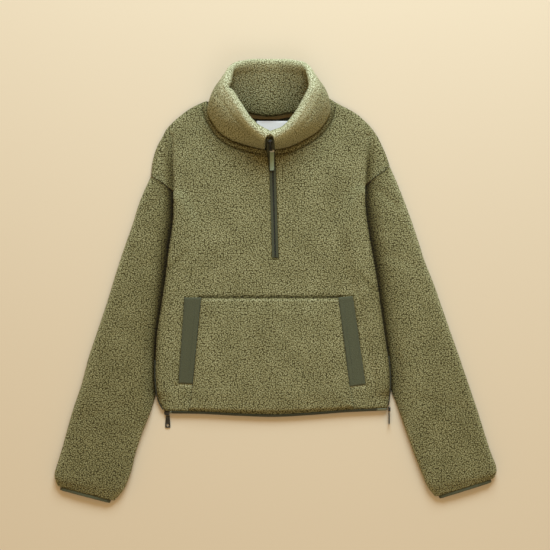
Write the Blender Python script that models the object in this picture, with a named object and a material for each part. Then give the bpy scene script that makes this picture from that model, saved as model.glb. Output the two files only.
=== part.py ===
"""Half-zip pile fleece, laid flat on a surface, collar standing open.

Metres. +X is the photograph's right, +Y points to the collar, +Z is up, and z = 0 is the
surface. Plan outlines are short tables of points with a smooth curve through them. Heights
follow one rule: the back panel lies on the surface, the front panel lies on the back panel,
and both round over to meet at the side and shoulder seams.
"""
import math
from collections import namedtuple

import bmesh
import bpy
import numpy as np
from mathutils.bvhtree import BVHTree

# Driving sizes
FLEECE = 0.0050            # pile fleece, cloth and curl together
SEAM_GAP = 0.0003          # clearance between pieces that touch
FLAT_GAP = 0.0006          # between the front and back panels where they lie flat
CHEST_PUFF = 0.0045        # extra air between them over the chest
SIDE_ROLL = 0.011          # radius over which an edge rounds over
TUCK_LIFT = 0.0067         # how far the tucked sleeve lifts the body edge
LIFT_REACH = 0.006         # lifted edge reaches this far past the sleeve's tucked edge
LIFT_RAMP = 0.025
ZIP_WIDTH = 0.0130         # slot between the front edges
ZIP_END_Y = 0.0387
POCKET_THICK = 0.0038
TRIM_THICK = 0.0016
HEM_BINDING = 0.0045       # width of the hem's woven edge, in plan
CUFF_BINDING = 0.0100
BINDING_WALL = 0.0026
COLLAR_BASE_THICK = 0.0120
COLLAR_RIM_THICK = 0.0150
CENTRE_SHIFT = (0.0, 0.00654)  # moves the plan so that its box is centred on the origin
CHEST = (0.0, 0.0)         # a plan point inside both side seams

# Body panels
HALF_GAP = 0.00025         # least half gap between the front and back panels
CHEST_AIR = ((1.0, -0.075, 0.200, 0.070, 0.085), (1.0, 0.075, 0.205, 0.065, 0.085),
             (0.55, -0.120, 0.060, 0.080, 0.060), (0.55, 0.110, 0.065, 0.075, 0.060),
             (0.50, 0.000, -0.120, 0.120, 0.070))  # share, middle and reach of each puff
AIR_REACH = 0.05           # the air closes over this width along the seams
TURN_REACH = 0.04          # the inner faces draw in over this width
EDGE_STEPS = (0.0, 0.0015, 0.0040, 0.0090, 0.0190)  # rows set close where an edge rounds over
PANEL_CELLS = 12           # grid cells across half a panel, past the close ones at its edge
SIDE_ROWS = 18
ARMHOLE_ROWS = 2           # past the close ones at the shoulder
NECK_ROWS = 6
MIDDLE_CELLS = 5           # across the back panel between the two halves
GROOVES = ((-0.1840, 0.1593, -0.1870, 0.2560), (0.1620, 0.1701, 0.1680, 0.2560))
GROOVE_DEPTH, GROOVE_WIDTH = 0.0030, 0.006

# Sleeves and cuffs
SLEEVE_STEPS = (0.0, 0.0012, 0.0040, 0.0090, 0.0170)  # from each edge of a sleeve section
SLEEVE_COLUMNS = 4
SLEEVE_ROLL = 0.012
TUCKED_THICK = 0.0061      # sleeve pressed flat under the body
TUCK_START, TUCK_REACH = 0.0015, 0.020  # where the sleeve thickens beside the body
INNER_ROLL = 0.007
SLEEVE_AIR = 0.0016        # most half gap inside a sleeve that lies flat
CUFF_HALF_HEIGHT = 0.0052
CUFF_SHRINK = 0.06         # share of the sleeve's width left free at each end of the cuff
CUFF_LIFT = 0.0004
CUFF_POINTS = 28

# Collar
COLLAR_SEAT = 0.0009
COLLAR_COLUMNS = 37
COLLAR_SLOT = 0.0005       # half the gap between the collar's two layers
COLLAR_END_LEAN = 0.001    # the base of each front edge stands this far outside its rim
FRONT_MIDDLE_X = -0.010
FACE_SHARES = (0.0, 0.12, 0.3, 0.5, 0.7, 0.88)
RIM_TURNS = (0.0, 0.22, 0.5, 0.78, 1.0)

# Pocket, its trims and the label
LAID_GAP = 0.0006          # the small gap stays open where the coarse faces cross
POCKET_STEPS = (0.0, 0.012, 0.035)  # shares near each sewn edge of the pocket
POCKET_EDGE = 0.0018       # thickness along the sewn edges
POCKET_TAPER = (6.0, 7.5, 0.22)  # down, across and the share over which it thickens
POCKET_SAG = 0.0055        # bow of the pocket's lower edge
POCKET_GAP = 0.0004        # between the pocket and its trims
LABEL_X, LABEL_Y = (-0.034, 0.027), (0.2545, 0.2845)
LABEL_GAP, LABEL_THICK = 0.0004, 0.0008

# Front zip
ZIP_ROWS = 12              # rows of the zip below the neck seam
ZIP_SUNK = 0.0012
ZIP_NECK_Y = 0.2235
TAPE_THICK = 0.0012
CHAIN_WIDTH = 0.0020
CHAIN_THICK = 0.0018
SLIDER_SIZE = (0.0098, 0.0120, 0.0028)  # width, length, thickness
SLIDER_CLEAR = 0.0004
SLIDER_REACH = 0.006       # run of the zip that gives the slider its slope
LINK_SIZE = (0.0072, 0.0016)  # width and thickness
LINK_DROP = 0.0015         # hinge below the slider's middle
LINK_SWAY = 0.0012
PULL_CLEAR = 0.0009
TAB_DROP, TAB_SWAY, TAB_CLEAR = 0.0010, 0.0006, 0.0007
BESIDE_ZIP = 0.0085        # the tab lies as high as the panel this far to each side

# Side zips
SIDE_ZIP_LENGTH = 0.090
SIDE_ZIP_WIDTH = 0.0044
SIDE_ZIP_THICK = 0.0012
SIDE_ZIP_CLEAR = 0.0004
PULL_HOLE = 0.0018
PULL_LENGTH = 0.0220
PULL_WIDTHS = (0.0067, 0.0094)
PULL_THICK = 0.0016
PULL_SHOULDER, PULL_HOLE_AT = 0.72, 0.76  # shares of a side pull's length
SIDE_PULL_GAP = 0.00095    # lets a side pull turn beside its slider
LEFT_SLIDER, LEFT_SLIDER_SIZE = (-0.1953, -0.2402, 0.0029), (0.0096, 0.0072, 0.0044)
RIGHT_SLIDER, RIGHT_SLIDER_SIZE = (0.2042, -0.2330, 0.0052), (0.0084, 0.0080, 0.0036)
LEFT_PULL_DROP = (0.0013, 0.0, -0.0017)  # a pull's hinge beside the middle of its slider
RIGHT_PULL_DROP = (-0.0004, 0.0, 0.0)
SLIDER_BEVEL, TAB_BEVEL = 0.0007, 0.0005

PlanPoint = namedtuple("PlanPoint", "x y")
NECK_MIDDLE = PlanPoint(-0.010, 0.262)


def plan(*pairs):
    return [PlanPoint(*pair) for pair in pairs]


# Outlines, all from the hem upwards or from the outside inwards
SIDE_LEFT = plan((-0.2000, -0.2358), (-0.2090, -0.2187), (-0.2138, -0.1917), (-0.2149, -0.1449),
                 (-0.2124, -0.0999), (-0.2057, -0.0531), (-0.1982, -0.0045), (-0.1901, 0.0621),
                 (-0.1836, 0.1071), (-0.1829, 0.1377), (-0.1836, 0.1593))
SIDE_RIGHT = plan((0.2014, -0.2304), (0.2029, -0.2169), (0.2045, -0.1935), (0.2034, -0.1557),
                  (0.1969, -0.1089), (0.1888, -0.0531), (0.1800, 0.0081), (0.1706, 0.0621),
                  (0.1634, 0.1071), (0.1602, 0.1431), (0.1609, 0.1701))
ARMHOLE_LEFT = plan((-0.1836, 0.1593), (-0.1964, 0.1692), (-0.2077, 0.1773), (-0.2239, 0.1858))
ARMHOLE_RIGHT = plan((0.1609, 0.1701), (0.1796, 0.1852), (0.1924, 0.1940), (0.2047, 0.2038))
SHOULDER_LEFT = plan((-0.2239, 0.1858), (-0.2207, 0.2115), (-0.2135, 0.2367), (-0.2054, 0.2520),
                     (-0.1946, 0.2709), (-0.1829, 0.2835), (-0.1703, 0.2943), (-0.1559, 0.3051),
                     (-0.1397, 0.3141), (-0.1244, 0.3204))
SHOULDER_RIGHT = plan((0.2047, 0.2038), (0.1987, 0.2223), (0.1915, 0.2385), (0.1825, 0.2565),
                      (0.1726, 0.2709), (0.1618, 0.2826), (0.1501, 0.2934), (0.1339, 0.3042),
                      (0.1159, 0.3132), (0.0970, 0.3249))
NECK_LEFT = plan((-0.1244, 0.3204), (-0.1210, 0.3033), (-0.1127, 0.2842), (-0.0983, 0.2621),
                 (-0.0814, 0.2493), (-0.0623, 0.2414), (-0.0443, 0.2371), (-0.0157, 0.2320))
NECK_RIGHT = plan((0.0970, 0.3249), (0.0965, 0.3105), (0.0936, 0.2950), (0.0841, 0.2763),
                  (0.0673, 0.2594), (0.0486, 0.2482), (0.0295, 0.2389), (-0.0027, 0.2320))
NECK_BACK = plan((-0.1244, 0.3204), (-0.0821, 0.2997), (-0.0425, 0.2896), (-0.0101, 0.2871),
                 (0.0259, 0.2907), (0.0655, 0.3042), (0.0970, 0.3249))
HEM_LEFT = plan((-0.2000, -0.2358), (-0.1361, -0.2367), (-0.0641, -0.2403), (-0.0076, -0.2421))
HEM_RIGHT = plan((0.2014, -0.2304), (0.1249, -0.2340), (0.0619, -0.2388), (0.0054, -0.2421))
ZIP_LINE = plan((-0.0106, 0.2619), (-0.0092, 0.2320), (-0.0052, 0.1935), (-0.0005, 0.0387),
                (-0.0011, -0.2421))

# Sleeve sections from armhole to cuff: the outer edge and the edge beside or under the body
SleeveRow = namedtuple("SleeveRow", "outer_x outer_y inner_x inner_y crown")
SLEEVE_LEFT = [
    SleeveRow(-0.2239, 0.1849, -0.1840, 0.1585, 0.0140),
    SleeveRow(-0.2324, 0.1665, -0.1832, 0.1450, 0.0150),
    SleeveRow(-0.2423, 0.1431, -0.1720, 0.1250, 0.0150),
    SleeveRow(-0.2549, 0.1035, -0.1640, 0.0890, 0.0155),
    SleeveRow(-0.2700, 0.0603, -0.1700, 0.0450, 0.0160),
    SleeveRow(-0.2855, 0.0135, -0.1795, -0.0045, 0.0165),
    SleeveRow(-0.3008, -0.0369, -0.1895, -0.0531, 0.0165),
    SleeveRow(-0.3188, -0.0909, -0.2000, -0.1050, 0.0165),
    SleeveRow(-0.3350, -0.1395, -0.2078, -0.1500, 0.0165),
    SleeveRow(-0.3485, -0.1899, -0.2126, -0.1900, 0.0165),
    SleeveRow(-0.3638, -0.2349, -0.2215, -0.2290, 0.0165),
    SleeveRow(-0.3773, -0.2835, -0.2390, -0.2745, 0.0165),
    SleeveRow(-0.3893, -0.3249, -0.2525, -0.3160, 0.0170),
    SleeveRow(-0.3953, -0.3429, -0.2603, -0.3483, 0.0175),
    SleeveRow(-0.3931, -0.3663, -0.2900, -0.3951, 0.0130),
]
SLEEVE_RIGHT = [
    SleeveRow(0.2047, 0.2029, 0.1613, 0.1693, 0.0140),
    SleeveRow(0.2122, 0.1863, 0.1606, 0.1550, 0.0150),
    SleeveRow(0.2212, 0.1647, 0.1500, 0.1330, 0.0150),
    SleeveRow(0.2365, 0.1251, 0.1430, 0.0980, 0.0155),
    SleeveRow(0.2527, 0.0783, 0.1500, 0.0580, 0.0160),
    SleeveRow(0.2671, 0.0333, 0.1585, 0.0130, 0.0165),
    SleeveRow(0.2842, -0.0099, 0.1680, -0.0300, 0.0165),
    SleeveRow(0.2986, -0.0513, 0.1765, -0.0720, 0.0165),
    SleeveRow(0.3130, -0.0927, 0.1850, -0.1150, 0.0165),
    SleeveRow(0.3283, -0.1359, 0.1950, -0.1570, 0.0165),
    SleeveRow(0.3436, -0.1809, 0.2062, -0.1950, 0.0165),
    SleeveRow(0.3589, -0.2259, 0.2200, -0.2310, 0.0165),
    SleeveRow(0.3733, -0.2709, 0.2360, -0.2770, 0.0165),
    SleeveRow(0.3859, -0.3105, 0.2500, -0.3160, 0.0170),
    SleeveRow(0.3953, -0.3357, 0.2635, -0.3501, 0.0175),
    SleeveRow(0.3940, -0.3519, 0.2866, -0.3870, 0.0130),
]

# How far each sleeve is tucked under the body, and how much it lifts the body there
TuckRow = namedtuple("TuckRow", "y tuck lift")
TUCK_LEFT = [TuckRow(-0.222, 0.0, 0.0), TuckRow(-0.196, 0.002, 1.0), TuckRow(-0.145, 0.009, 1.0),
             TuckRow(-0.053, 0.018, 1.0), TuckRow(0.040, 0.024, 1.0), TuckRow(0.090, 0.024, 1.0),
             TuckRow(0.125, 0.013, 1.0), TuckRow(0.143, 0.003, 1.0), TuckRow(0.163, 0.0, 0.0)]
TUCK_RIGHT = [TuckRow(-0.215, 0.0, 0.0), TuckRow(-0.192, 0.002, 1.0), TuckRow(-0.150, 0.011, 1.0),
              TuckRow(-0.053, 0.018, 1.0), TuckRow(0.040, 0.024, 1.0), TuckRow(0.098, 0.024, 1.0),
              TuckRow(0.133, 0.013, 1.0), TuckRow(0.153, 0.003, 1.0), TuckRow(0.173, 0.0, 0.0)]

# Collar stations round the ring from the left front edge, through the back, to the right. Each
# stands beside a share of a neckline, counted from the front centre or from the left.
CollarRow = namedtuple("CollarRow", "neck share offset lift rim_x rim_y rim_z bulge")
COLLAR = [
    CollarRow("left", 1.00, 0.0072, 0.0, -0.0175, 0.2515, 0.0575, 0.0020),
    CollarRow("left", 0.80, 0.0072, 0.0, -0.0430, 0.2735, 0.0590, 0.0035),
    CollarRow("left", 0.58, 0.0070, 0.0, -0.0600, 0.2960, 0.0600, 0.0050),
    CollarRow("left", 0.36, 0.0068, 0.0, -0.0750, 0.3190, 0.0590, 0.0065),
    CollarRow("left", 0.15, 0.0066, 0.0, -0.0860, 0.3430, 0.0560, 0.0065),
    CollarRow("back", 0.11, -0.0060, 0.0010, -0.0800, 0.3670, 0.0480, 0.0050),
    CollarRow("back", 0.28, -0.0080, -0.0050, -0.0550, 0.3800, 0.0390, 0.0030),
    CollarRow("back", 0.50, -0.0066, -0.0050, -0.0101, 0.3825, 0.0350, 0.0020),
    CollarRow("back", 0.72, -0.0080, -0.0050, 0.0350, 0.3800, 0.0390, 0.0030),
    CollarRow("back", 0.89, -0.0060, 0.0010, 0.0590, 0.3670, 0.0480, 0.0050),
    CollarRow("right", 0.15, 0.0066, 0.0, 0.0655, 0.3430, 0.0560, 0.0065),
    CollarRow("right", 0.36, 0.0068, 0.0, 0.0530, 0.3110, 0.0590, 0.0065),
    CollarRow("right", 0.58, 0.0070, 0.0, 0.0350, 0.2820, 0.0600, 0.0050),
    CollarRow("right", 0.80, 0.0072, 0.0, 0.0180, 0.2640, 0.0590, 0.0035),
    CollarRow("right", 1.00, 0.0072, 0.0, -0.0030, 0.2515, 0.0575, 0.0020),
]

# Zip on the collar, seen from the side, and the pull that hangs in front of it
SidePoint = namedtuple("SidePoint", "y z")
ZIP_RISE = [SidePoint(0.2290, 0.0135), SidePoint(0.2325, 0.0185), SidePoint(0.2352, 0.0270),
            SidePoint(0.2380, 0.0393), SidePoint(0.2428, 0.0543), SidePoint(0.2448, 0.0600)]
SLIDER_Z = 0.0525
LINK_END = SidePoint(0.2300, 0.0185)
TAB_LENGTH, TAB_WIDTH, TAB_THICK = 0.0345, 0.0090, 0.0016

# Pocket and its trims
TRIM_LEFT = plan((-0.1629, -0.0322), (-0.1336, -0.0322), (-0.1489, -0.1874), (-0.1739, -0.1863))
TRIM_RIGHT = plan((0.1127, -0.0322), (0.1381, -0.0296), (0.1610, -0.1881), (0.1330, -0.1919))
POCKET_FOOT_LEFT, POCKET_FOOT_RIGHT = plan((-0.1545, -0.2320), (0.1390, -0.2285))
HEM_MIDDLE = PlanPoint(-0.0011, -0.2421)


def clear_scene():
    for item in list(bpy.data.objects):
        bpy.data.objects.remove(item, do_unlink=True)


def make_material(name, colour, roughness, metallic=0.0):
    material = bpy.data.materials.new(name)
    material.use_nodes = True
    shader = material.node_tree.nodes["Principled BSDF"]
    shader.inputs["Base Color"].default_value = (*colour, 1.0)
    shader.inputs["Roughness"].default_value = roughness
    shader.inputs["Metallic"].default_value = metallic
    return material


def curve_through(points, count, spread=None):
    """Sample a smooth curve through plan points, at even or given shares of its length."""
    knots = np.array(points, dtype=float)
    steps = np.linalg.norm(np.diff(knots, axis=0), axis=1)
    along = np.concatenate([[0.0], np.cumsum(steps)])
    slopes = np.gradient(knots, along, axis=0)
    shares = np.linspace(0.0, 1.0, count) if spread is None else np.asarray(spread)
    at = shares * along[-1]
    k = np.clip(np.searchsorted(along, at, side="right") - 1, 0, len(steps) - 1)
    h = steps[k][:, None]
    t = ((at - along[k]) / steps[k])[:, None]
    return ((2 * t**3 - 3 * t**2 + 1) * knots[k] + (t**3 - 2 * t**2 + t) * h * slopes[k]
            + (3 * t**2 - 2 * t**3) * knots[k + 1] + (t**3 - t**2) * h * slopes[k + 1])


def smooth(x):
    x = np.clip(x, 0.0, 1.0)
    return x * x * (3.0 - 2.0 * x)


def bump(x, y, centre_x, centre_y, reach_x, reach_y):
    """A soft round hill of height one."""
    return np.exp(-((x - centre_x) / reach_x) ** 2 - ((y - centre_y) / reach_y) ** 2)


def rounded(share):
    """Quarter-circle profile: zero on the edge, one from the roll's radius inwards."""
    return np.sqrt(1.0 - (1.0 - np.clip(share, 0.0, 1.0)) ** 2)


def seam_distance(x, y, seam, inside):
    """Distance from plan points to a seam, and the seam's direction towards the inside."""
    line = curve_through(seam, 90)
    start, step = line[:-1], np.diff(line, axis=0)
    offset = np.stack([x, y], -1)[..., None, :] - start
    share = np.clip((offset * step).sum(-1) / (step * step).sum(-1), 0.0, 1.0)
    gaps = np.linalg.norm(offset - share[..., None] * step, axis=-1)
    nearest = gaps.argmin(-1)
    normal = np.stack([-step[:, 1], step[:, 0]], -1) / np.linalg.norm(step, axis=1)[:, None]
    middle = 0.5 * (start + line[1:])
    normal *= np.sign(((np.array(inside) - middle) * normal).sum(-1))[:, None]
    return gaps.min(-1), normal[nearest]


def signed_tuck(x, y, seam, inside):
    """How far plan points lie inside a side seam; negative outside."""
    distance, normal = seam_distance(x, y, seam, inside)
    line = curve_through(seam, 90)
    nearest = ((x[..., None] - line[:, 0]) ** 2 + (y[..., None] - line[:, 1]) ** 2).argmin(-1)
    offset = np.stack([x, y], -1) - line[nearest]
    return distance * np.sign((offset * normal).sum(-1) + 1e-9)


BodyLevels = namedtuple("BodyLevels", "under seam top edge inward")


def body_levels(x, y):
    """Underside, seam level and top of the laid body at plan points, and its rolled edges."""
    under = np.zeros_like(x)
    edge = np.full_like(x, 1.0)
    inward = np.zeros(x.shape + (2,))
    for side, shoulder, tucks in ((SIDE_LEFT, SHOULDER_LEFT, TUCK_LEFT),
                                  (SIDE_RIGHT, SHOULDER_RIGHT, TUCK_RIGHT)):
        side_gap, side_normal = seam_distance(x, y, side, CHEST)
        top_gap, top_normal = seam_distance(x, y, shoulder, CHEST)
        rows = sorted(tucks)
        tuck = np.interp(y, [row.y for row in rows], [row.tuck for row in rows])
        lift = smooth(np.interp(y, [row.y for row in rows], [row.lift for row in rows]))
        under += TUCK_LIFT * lift * smooth((tuck + LIFT_REACH + LIFT_RAMP - side_gap) / LIFT_RAMP)
        edge = np.minimum(edge, np.minimum(side_gap, top_gap))
        for gap, normal in ((side_gap, side_normal), (top_gap, top_normal)):
            inward += normal * (FLEECE * np.clip(1.0 - gap / TURN_REACH, 0.0, 1.0))[..., None]
    puff = sum(share * bump(x, y, *hill) for share, *hill in CHEST_AIR)
    air = FLAT_GAP + CHEST_PUFF * puff * smooth(edge / AIR_REACH)
    seam = under + FLEECE + 0.5 * air
    return BodyLevels(under, seam, seam + FLEECE + 0.5 * air, edge, inward)


def wall(name, outer, inner, material, keep=None, ring=False):
    """A closed wall between two grids of points; ring joins the last column to the first."""
    rows, columns = outer.shape[:2]
    across = columns if ring else columns - 1
    if keep is None:
        keep = np.ones((rows - 1, across), dtype=bool)
    points = np.concatenate([outer.reshape(-1, 3), inner.reshape(-1, 3)])
    shift = rows * columns

    def kept(r, c):
        c = c % across if ring else c
        return 0 <= r < rows - 1 and 0 <= c < across and keep[r, c]

    faces = []
    for r, c in zip(*np.nonzero(keep)):
        d = (c + 1) % columns
        a, b, e, f = r * columns + c, r * columns + d, (r + 1) * columns + d, (r + 1) * columns + c
        faces += [(a, b, e), (a, e, f), (e + shift, b + shift, a + shift),
                  (f + shift, e + shift, a + shift)]
        for (p, q), beside in (((a, b), (r - 1, c)), ((b, e), (r, c + 1)),
                               ((e, f), (r + 1, c)), ((f, a), (r, c - 1))):
            if not kept(*beside):
                faces.append((q, p, p + shift, q + shift))
    mesh = bpy.data.meshes.new(name)
    mesh.from_pydata((points + (*CENTRE_SHIFT, 0.0)).tolist(), [], faces)
    shape = bmesh.new()
    shape.from_mesh(mesh)
    loose = [vertex for vertex in shape.verts if not vertex.link_faces]
    bmesh.ops.delete(shape, geom=loose, context="VERTS")
    face_outwards(shape)
    shape.to_mesh(mesh)
    shape.free()
    return place(name, mesh, material)


def face_outwards(shape):
    bmesh.ops.recalc_face_normals(shape, faces=shape.faces)
    if shape.calc_volume(signed=True) < 0.0:
        bmesh.ops.reverse_faces(shape, faces=shape.faces)


def place(name, mesh, material):
    item = bpy.data.objects.new(name, mesh)
    mesh.materials.append(material)
    mesh.shade_smooth()
    mesh.set_sharp_from_angle(angle=math.radians(50))
    bpy.data.collections["zip_fleece"].objects.link(item)
    return item


def grid(x, y, z):
    return np.stack(np.broadcast_arrays(x, y, z), -1)


def coons(bottom, top, start, end):
    """Plan grid inside four edges: bottom and top run across, start and end run up."""
    def shares(line):
        steps = np.linalg.norm(np.diff(line, axis=0), axis=1)
        return np.concatenate([[0.0], np.cumsum(steps)]) / steps.sum()

    u = (0.5 * (shares(bottom) + shares(top)))[None, :, None]
    v = (0.5 * (shares(start) + shares(end)))[:, None, None]
    corners = ((1 - u) * (1 - v) * bottom[0] + u * (1 - v) * bottom[-1]
               + (1 - u) * v * top[0] + u * v * top[-1])
    return ((1 - v) * bottom[None] + v * top[None] + (1 - u) * start[:, None]
            + u * end[:, None] - corners)


def line_length(points):
    return np.linalg.norm(np.diff(np.array(points, dtype=float), axis=0), axis=1).sum()


def spread_from_edge(length, cells):
    """Shares of a line: close steps at its start, then even ones."""
    close = [step / length for step in EDGE_STEPS]
    even = np.linspace(close[-1], 1.0, cells + 1)[1:]
    return np.array(close + list(even))


def zip_x(y):
    rows = sorted((point.y, point.x) for point in ZIP_LINE)
    return np.interp(y, [row[0] for row in rows], [row[1] for row in rows])


def half_plan(side, armhole, shoulder, neck, hem, slot_side):
    """Plan grid of one half: hem below, shoulder above, side and armhole, zip slot and neck."""
    hem_line = curve_through(hem, 0, spread_from_edge(line_length(hem), PANEL_CELLS))
    top_line = curve_through(shoulder, 0, spread_from_edge(line_length(shoulder), PANEL_CELLS))
    side_line = curve_through(side, SIDE_ROWS + 1)
    hole_shares = 1.0 - spread_from_edge(line_length(armhole), ARMHOLE_ROWS)[::-1]
    start_line = np.concatenate([side_line, curve_through(armhole, 0, hole_shares)[1:]])
    neck_shares = 1.0 - spread_from_edge(line_length(neck), NECK_ROWS)[::-1]
    neck_line = curve_through(neck[::-1], 0, neck_shares)
    centre_y = np.linspace(hem_line[-1][1], neck_line[0][1],
                           len(start_line) - len(neck_line) + 1)
    centre_y[np.abs(centre_y - ZIP_END_Y).argmin()] = ZIP_END_Y
    centre_line = np.stack([zip_x(centre_y) + slot_side * 0.5 * ZIP_WIDTH, centre_y], -1)
    end_line = np.concatenate([centre_line[:-1], neck_line])
    hem_line[-1] = end_line[0]
    return coons(hem_line, top_line, start_line, end_line)


def line_gap(x, y, x0, y0, x1, y1):
    """Distance from plan points to a straight line between two plan points."""
    along = np.clip(((x - x0) * (x1 - x0) + (y - y0) * (y1 - y0))
                    / ((x1 - x0) ** 2 + (y1 - y0) ** 2), 0.0, 1.0)
    return np.hypot(x - x0 - along * (x1 - x0), y - y0 - along * (y1 - y0))


def front_top(x, y):
    """Height of the front panel's outer face: rolled edges and shoulder grooves."""
    level = body_levels(x, y)
    rise = (level.top - level.seam - HALF_GAP) * rounded(level.edge / SIDE_ROLL)
    top = level.seam + HALF_GAP + rise
    for x0, y0, x1, y1 in GROOVES:
        depth = GROOVE_DEPTH * np.exp(-(line_gap(x, y, x0, y0, x1, y1) / GROOVE_WIDTH) ** 2)
        top = top - depth * smooth(level.edge / SLEEVE_ROLL)
    return top


def panel_halves():
    """Plan grids of the left and right halves, and the row where the neckline begins."""
    left = half_plan(SIDE_LEFT, ARMHOLE_LEFT, SHOULDER_LEFT, NECK_LEFT, HEM_LEFT, -1)
    right = half_plan(SIDE_RIGHT, ARMHOLE_RIGHT, SHOULDER_RIGHT, NECK_RIGHT, HEM_RIGHT, 1)
    neck_row = left.shape[0] - len(EDGE_STEPS) - NECK_ROWS
    return left, right[:, ::-1], neck_row


def front_body(material):
    """Front panel: outer face rounds down to the seams; the slot holds the zip."""
    left, right, _ = panel_halves()
    flat, half = np.concatenate([left, right], axis=1), left.shape[1]
    x, y = flat[..., 0], flat[..., 1]
    level = body_levels(x, y)
    inner_xy = flat + level.inward
    inner_level = body_levels(inner_xy[..., 0], inner_xy[..., 1])
    inner_z = inner_level.seam + np.maximum(0.5 * (inner_level.top - inner_level.seam - FLEECE),
                                            HALF_GAP)
    keep = np.ones((flat.shape[0] - 1, flat.shape[1] - 1), dtype=bool)
    keep[:, half - 1] = y[:-1, half - 1] < ZIP_END_Y - 0.001
    wall("front_body", grid(x, y, front_top(x, y)),
         grid(inner_xy[..., 0], inner_xy[..., 1], inner_z), material, keep)


def back_body(material):
    """Back panel: the two halves and a middle that runs on up to the back neckline."""
    left, right, neck_row = panel_halves()
    share = np.linspace(0.0, 1.0, MIDDLE_CELLS + 1)[:, None]
    below = left[:neck_row + 1, -1:] + share * (right[:neck_row + 1, :1] - left[:neck_row + 1, -1:])
    above = coons(below[-1], curve_through(NECK_BACK, MIDDLE_CELLS + 1),
                  left[neck_row:, -1], right[neck_row:, 0])
    middle = np.concatenate([below, above[1:]])
    flat = np.concatenate([left[:, :-1], middle, right[:, 1:]], axis=1)
    x, y = flat[..., 0], flat[..., 1]
    level = body_levels(x, y)
    inner_xy = flat + level.inward
    inner = body_levels(inner_xy[..., 0], inner_xy[..., 1])
    inner_z = inner.seam - np.maximum(0.5 * (inner.top - inner.seam - FLEECE), HALF_GAP)
    drop = (level.seam - HALF_GAP - level.under) * rounded(level.edge / SIDE_ROLL)
    outer_z = level.seam - HALF_GAP - drop
    wall("back_body", grid(x, y, outer_z), grid(inner_xy[..., 0], inner_xy[..., 1], inner_z),
         material)


def sleeve_crown(x, y, crown, seam):
    """Height of the sleeve's top: its crown in the open, pressed thin under the body."""
    under = signed_tuck(x, y, seam, CHEST)
    return TUCKED_THICK + (crown - TUCKED_THICK) * smooth((-under - TUCK_START) / TUCK_REACH)


def sleeve_sections(rows, seam, armhole, columns):
    """Outer and inner rings of a flattened tube, the top from outside in, then the bottom."""
    outer, inner = [], []
    for number, row in enumerate(rows):
        start = np.array([row.outer_x, row.outer_y])
        end = np.array([row.inner_x, row.inner_y])
        length = np.linalg.norm(end - start)
        near = np.array(SLEEVE_STEPS) / length
        middle = np.linspace(near[-1], 1.0 - near[-1], columns + 1)[1:-1]
        share = np.concatenate([near, middle, 1.0 - near[::-1]])
        line = start + share[:, None] * (end - start)
        if number == 0:
            line = curve_through(armhole[::-1], 0, share)
            tangent = np.gradient(line, axis=0)
            tangent /= np.linalg.norm(tangent, axis=1)[:, None]
            down = np.stack([tangent[:, 1], -tangent[:, 0]], -1)
            down *= np.sign(down[:, 1].mean()) * -1.0
            line = line + 1.5 * SEAM_GAP * down
        wall_share = FLEECE / length
        inside = wall_share + share * (1.0 - 2.0 * wall_share)
        inside_line = np.stack([np.interp(inside, share, line[:, 0]),
                                np.interp(inside, share, line[:, 1])], -1)
        half = 0.5 * sleeve_crown(line[:, 0], line[:, 1], row.crown, seam)
        inner_half = 0.5 * sleeve_crown(inside_line[:, 0], inside_line[:, 1], row.crown, seam)
        edge = np.minimum(share, 1.0 - share) * length
        outer_rise = half * rounded(edge / SLEEVE_ROLL)
        inner_edge = np.minimum(share, 1.0 - share) * (length - 2.0 * FLEECE)
        inner_rise = (np.clip(inner_half - FLEECE, HALF_GAP, SLEEVE_AIR)
                      * rounded(inner_edge / INNER_ROLL))
        for rings, flat, level, rise in ((outer, line, half, outer_rise),
                                         (inner, inside_line, inner_half, inner_rise)):
            top = grid(flat[:, 0], flat[:, 1], level + rise)
            low = grid(flat[:, 0], flat[:, 1], level - rise)
            rings.append(np.concatenate([top, low[-2:0:-1]]))
    return np.array(outer), np.array(inner)


def sleeve(name, rows, seam, armhole, material):
    outer, inner = sleeve_sections(rows, seam, armhole, SLEEVE_COLUMNS)
    wall(name, outer, inner, material, ring=True)


def cuff_binding(name, row, before, material):
    """A flat woven ring that carries the sleeve's end on by the binding's width."""
    end = np.array([row.outer_x, row.outer_y, row.inner_x, row.inner_y])
    way = end - np.array([before.outer_x, before.outer_y, before.inner_x, before.inner_y])
    way = way[:2] + way[2:]
    way /= np.linalg.norm(way)
    draw = CUFF_SHRINK * (end[2:] - end[:2])
    start, stop = end[:2] + draw, end[2:] - draw
    across = (stop - start) / np.linalg.norm(stop - start)
    length = np.linalg.norm(stop - start)
    angles = np.linspace(0.0, 2.0 * math.pi, CUFF_POINTS, endpoint=False)

    def ring_at(forward, half_width, half_height):
        side = np.sign(np.cos(angles)) * np.abs(np.cos(angles)) ** 0.35 * half_width
        rise = np.sign(np.sin(angles)) * np.abs(np.sin(angles)) ** 0.75 * half_height
        centre = 0.5 * (start + stop) + way * forward
        spot = centre + side[:, None] * across
        return grid(spot[:, 0], spot[:, 1], CUFF_HALF_HEIGHT + CUFF_LIFT + rise)

    outer = [ring_at(f, 0.5 * length, CUFF_HALF_HEIGHT) for f in (SEAM_GAP, CUFF_BINDING)]
    inner = [ring_at(f, 0.5 * length - BINDING_WALL, CUFF_HALF_HEIGHT - BINDING_WALL)
             for f in (SEAM_GAP, CUFF_BINDING)]
    wall(name, np.array(outer), np.array(inner), material, ring=True)


def back_inner(x, y):
    """Height of the back panel's inner face."""
    level = body_levels(x, y)
    return level.seam - np.maximum(0.5 * (level.top - level.seam - FLEECE), HALF_GAP)


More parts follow.
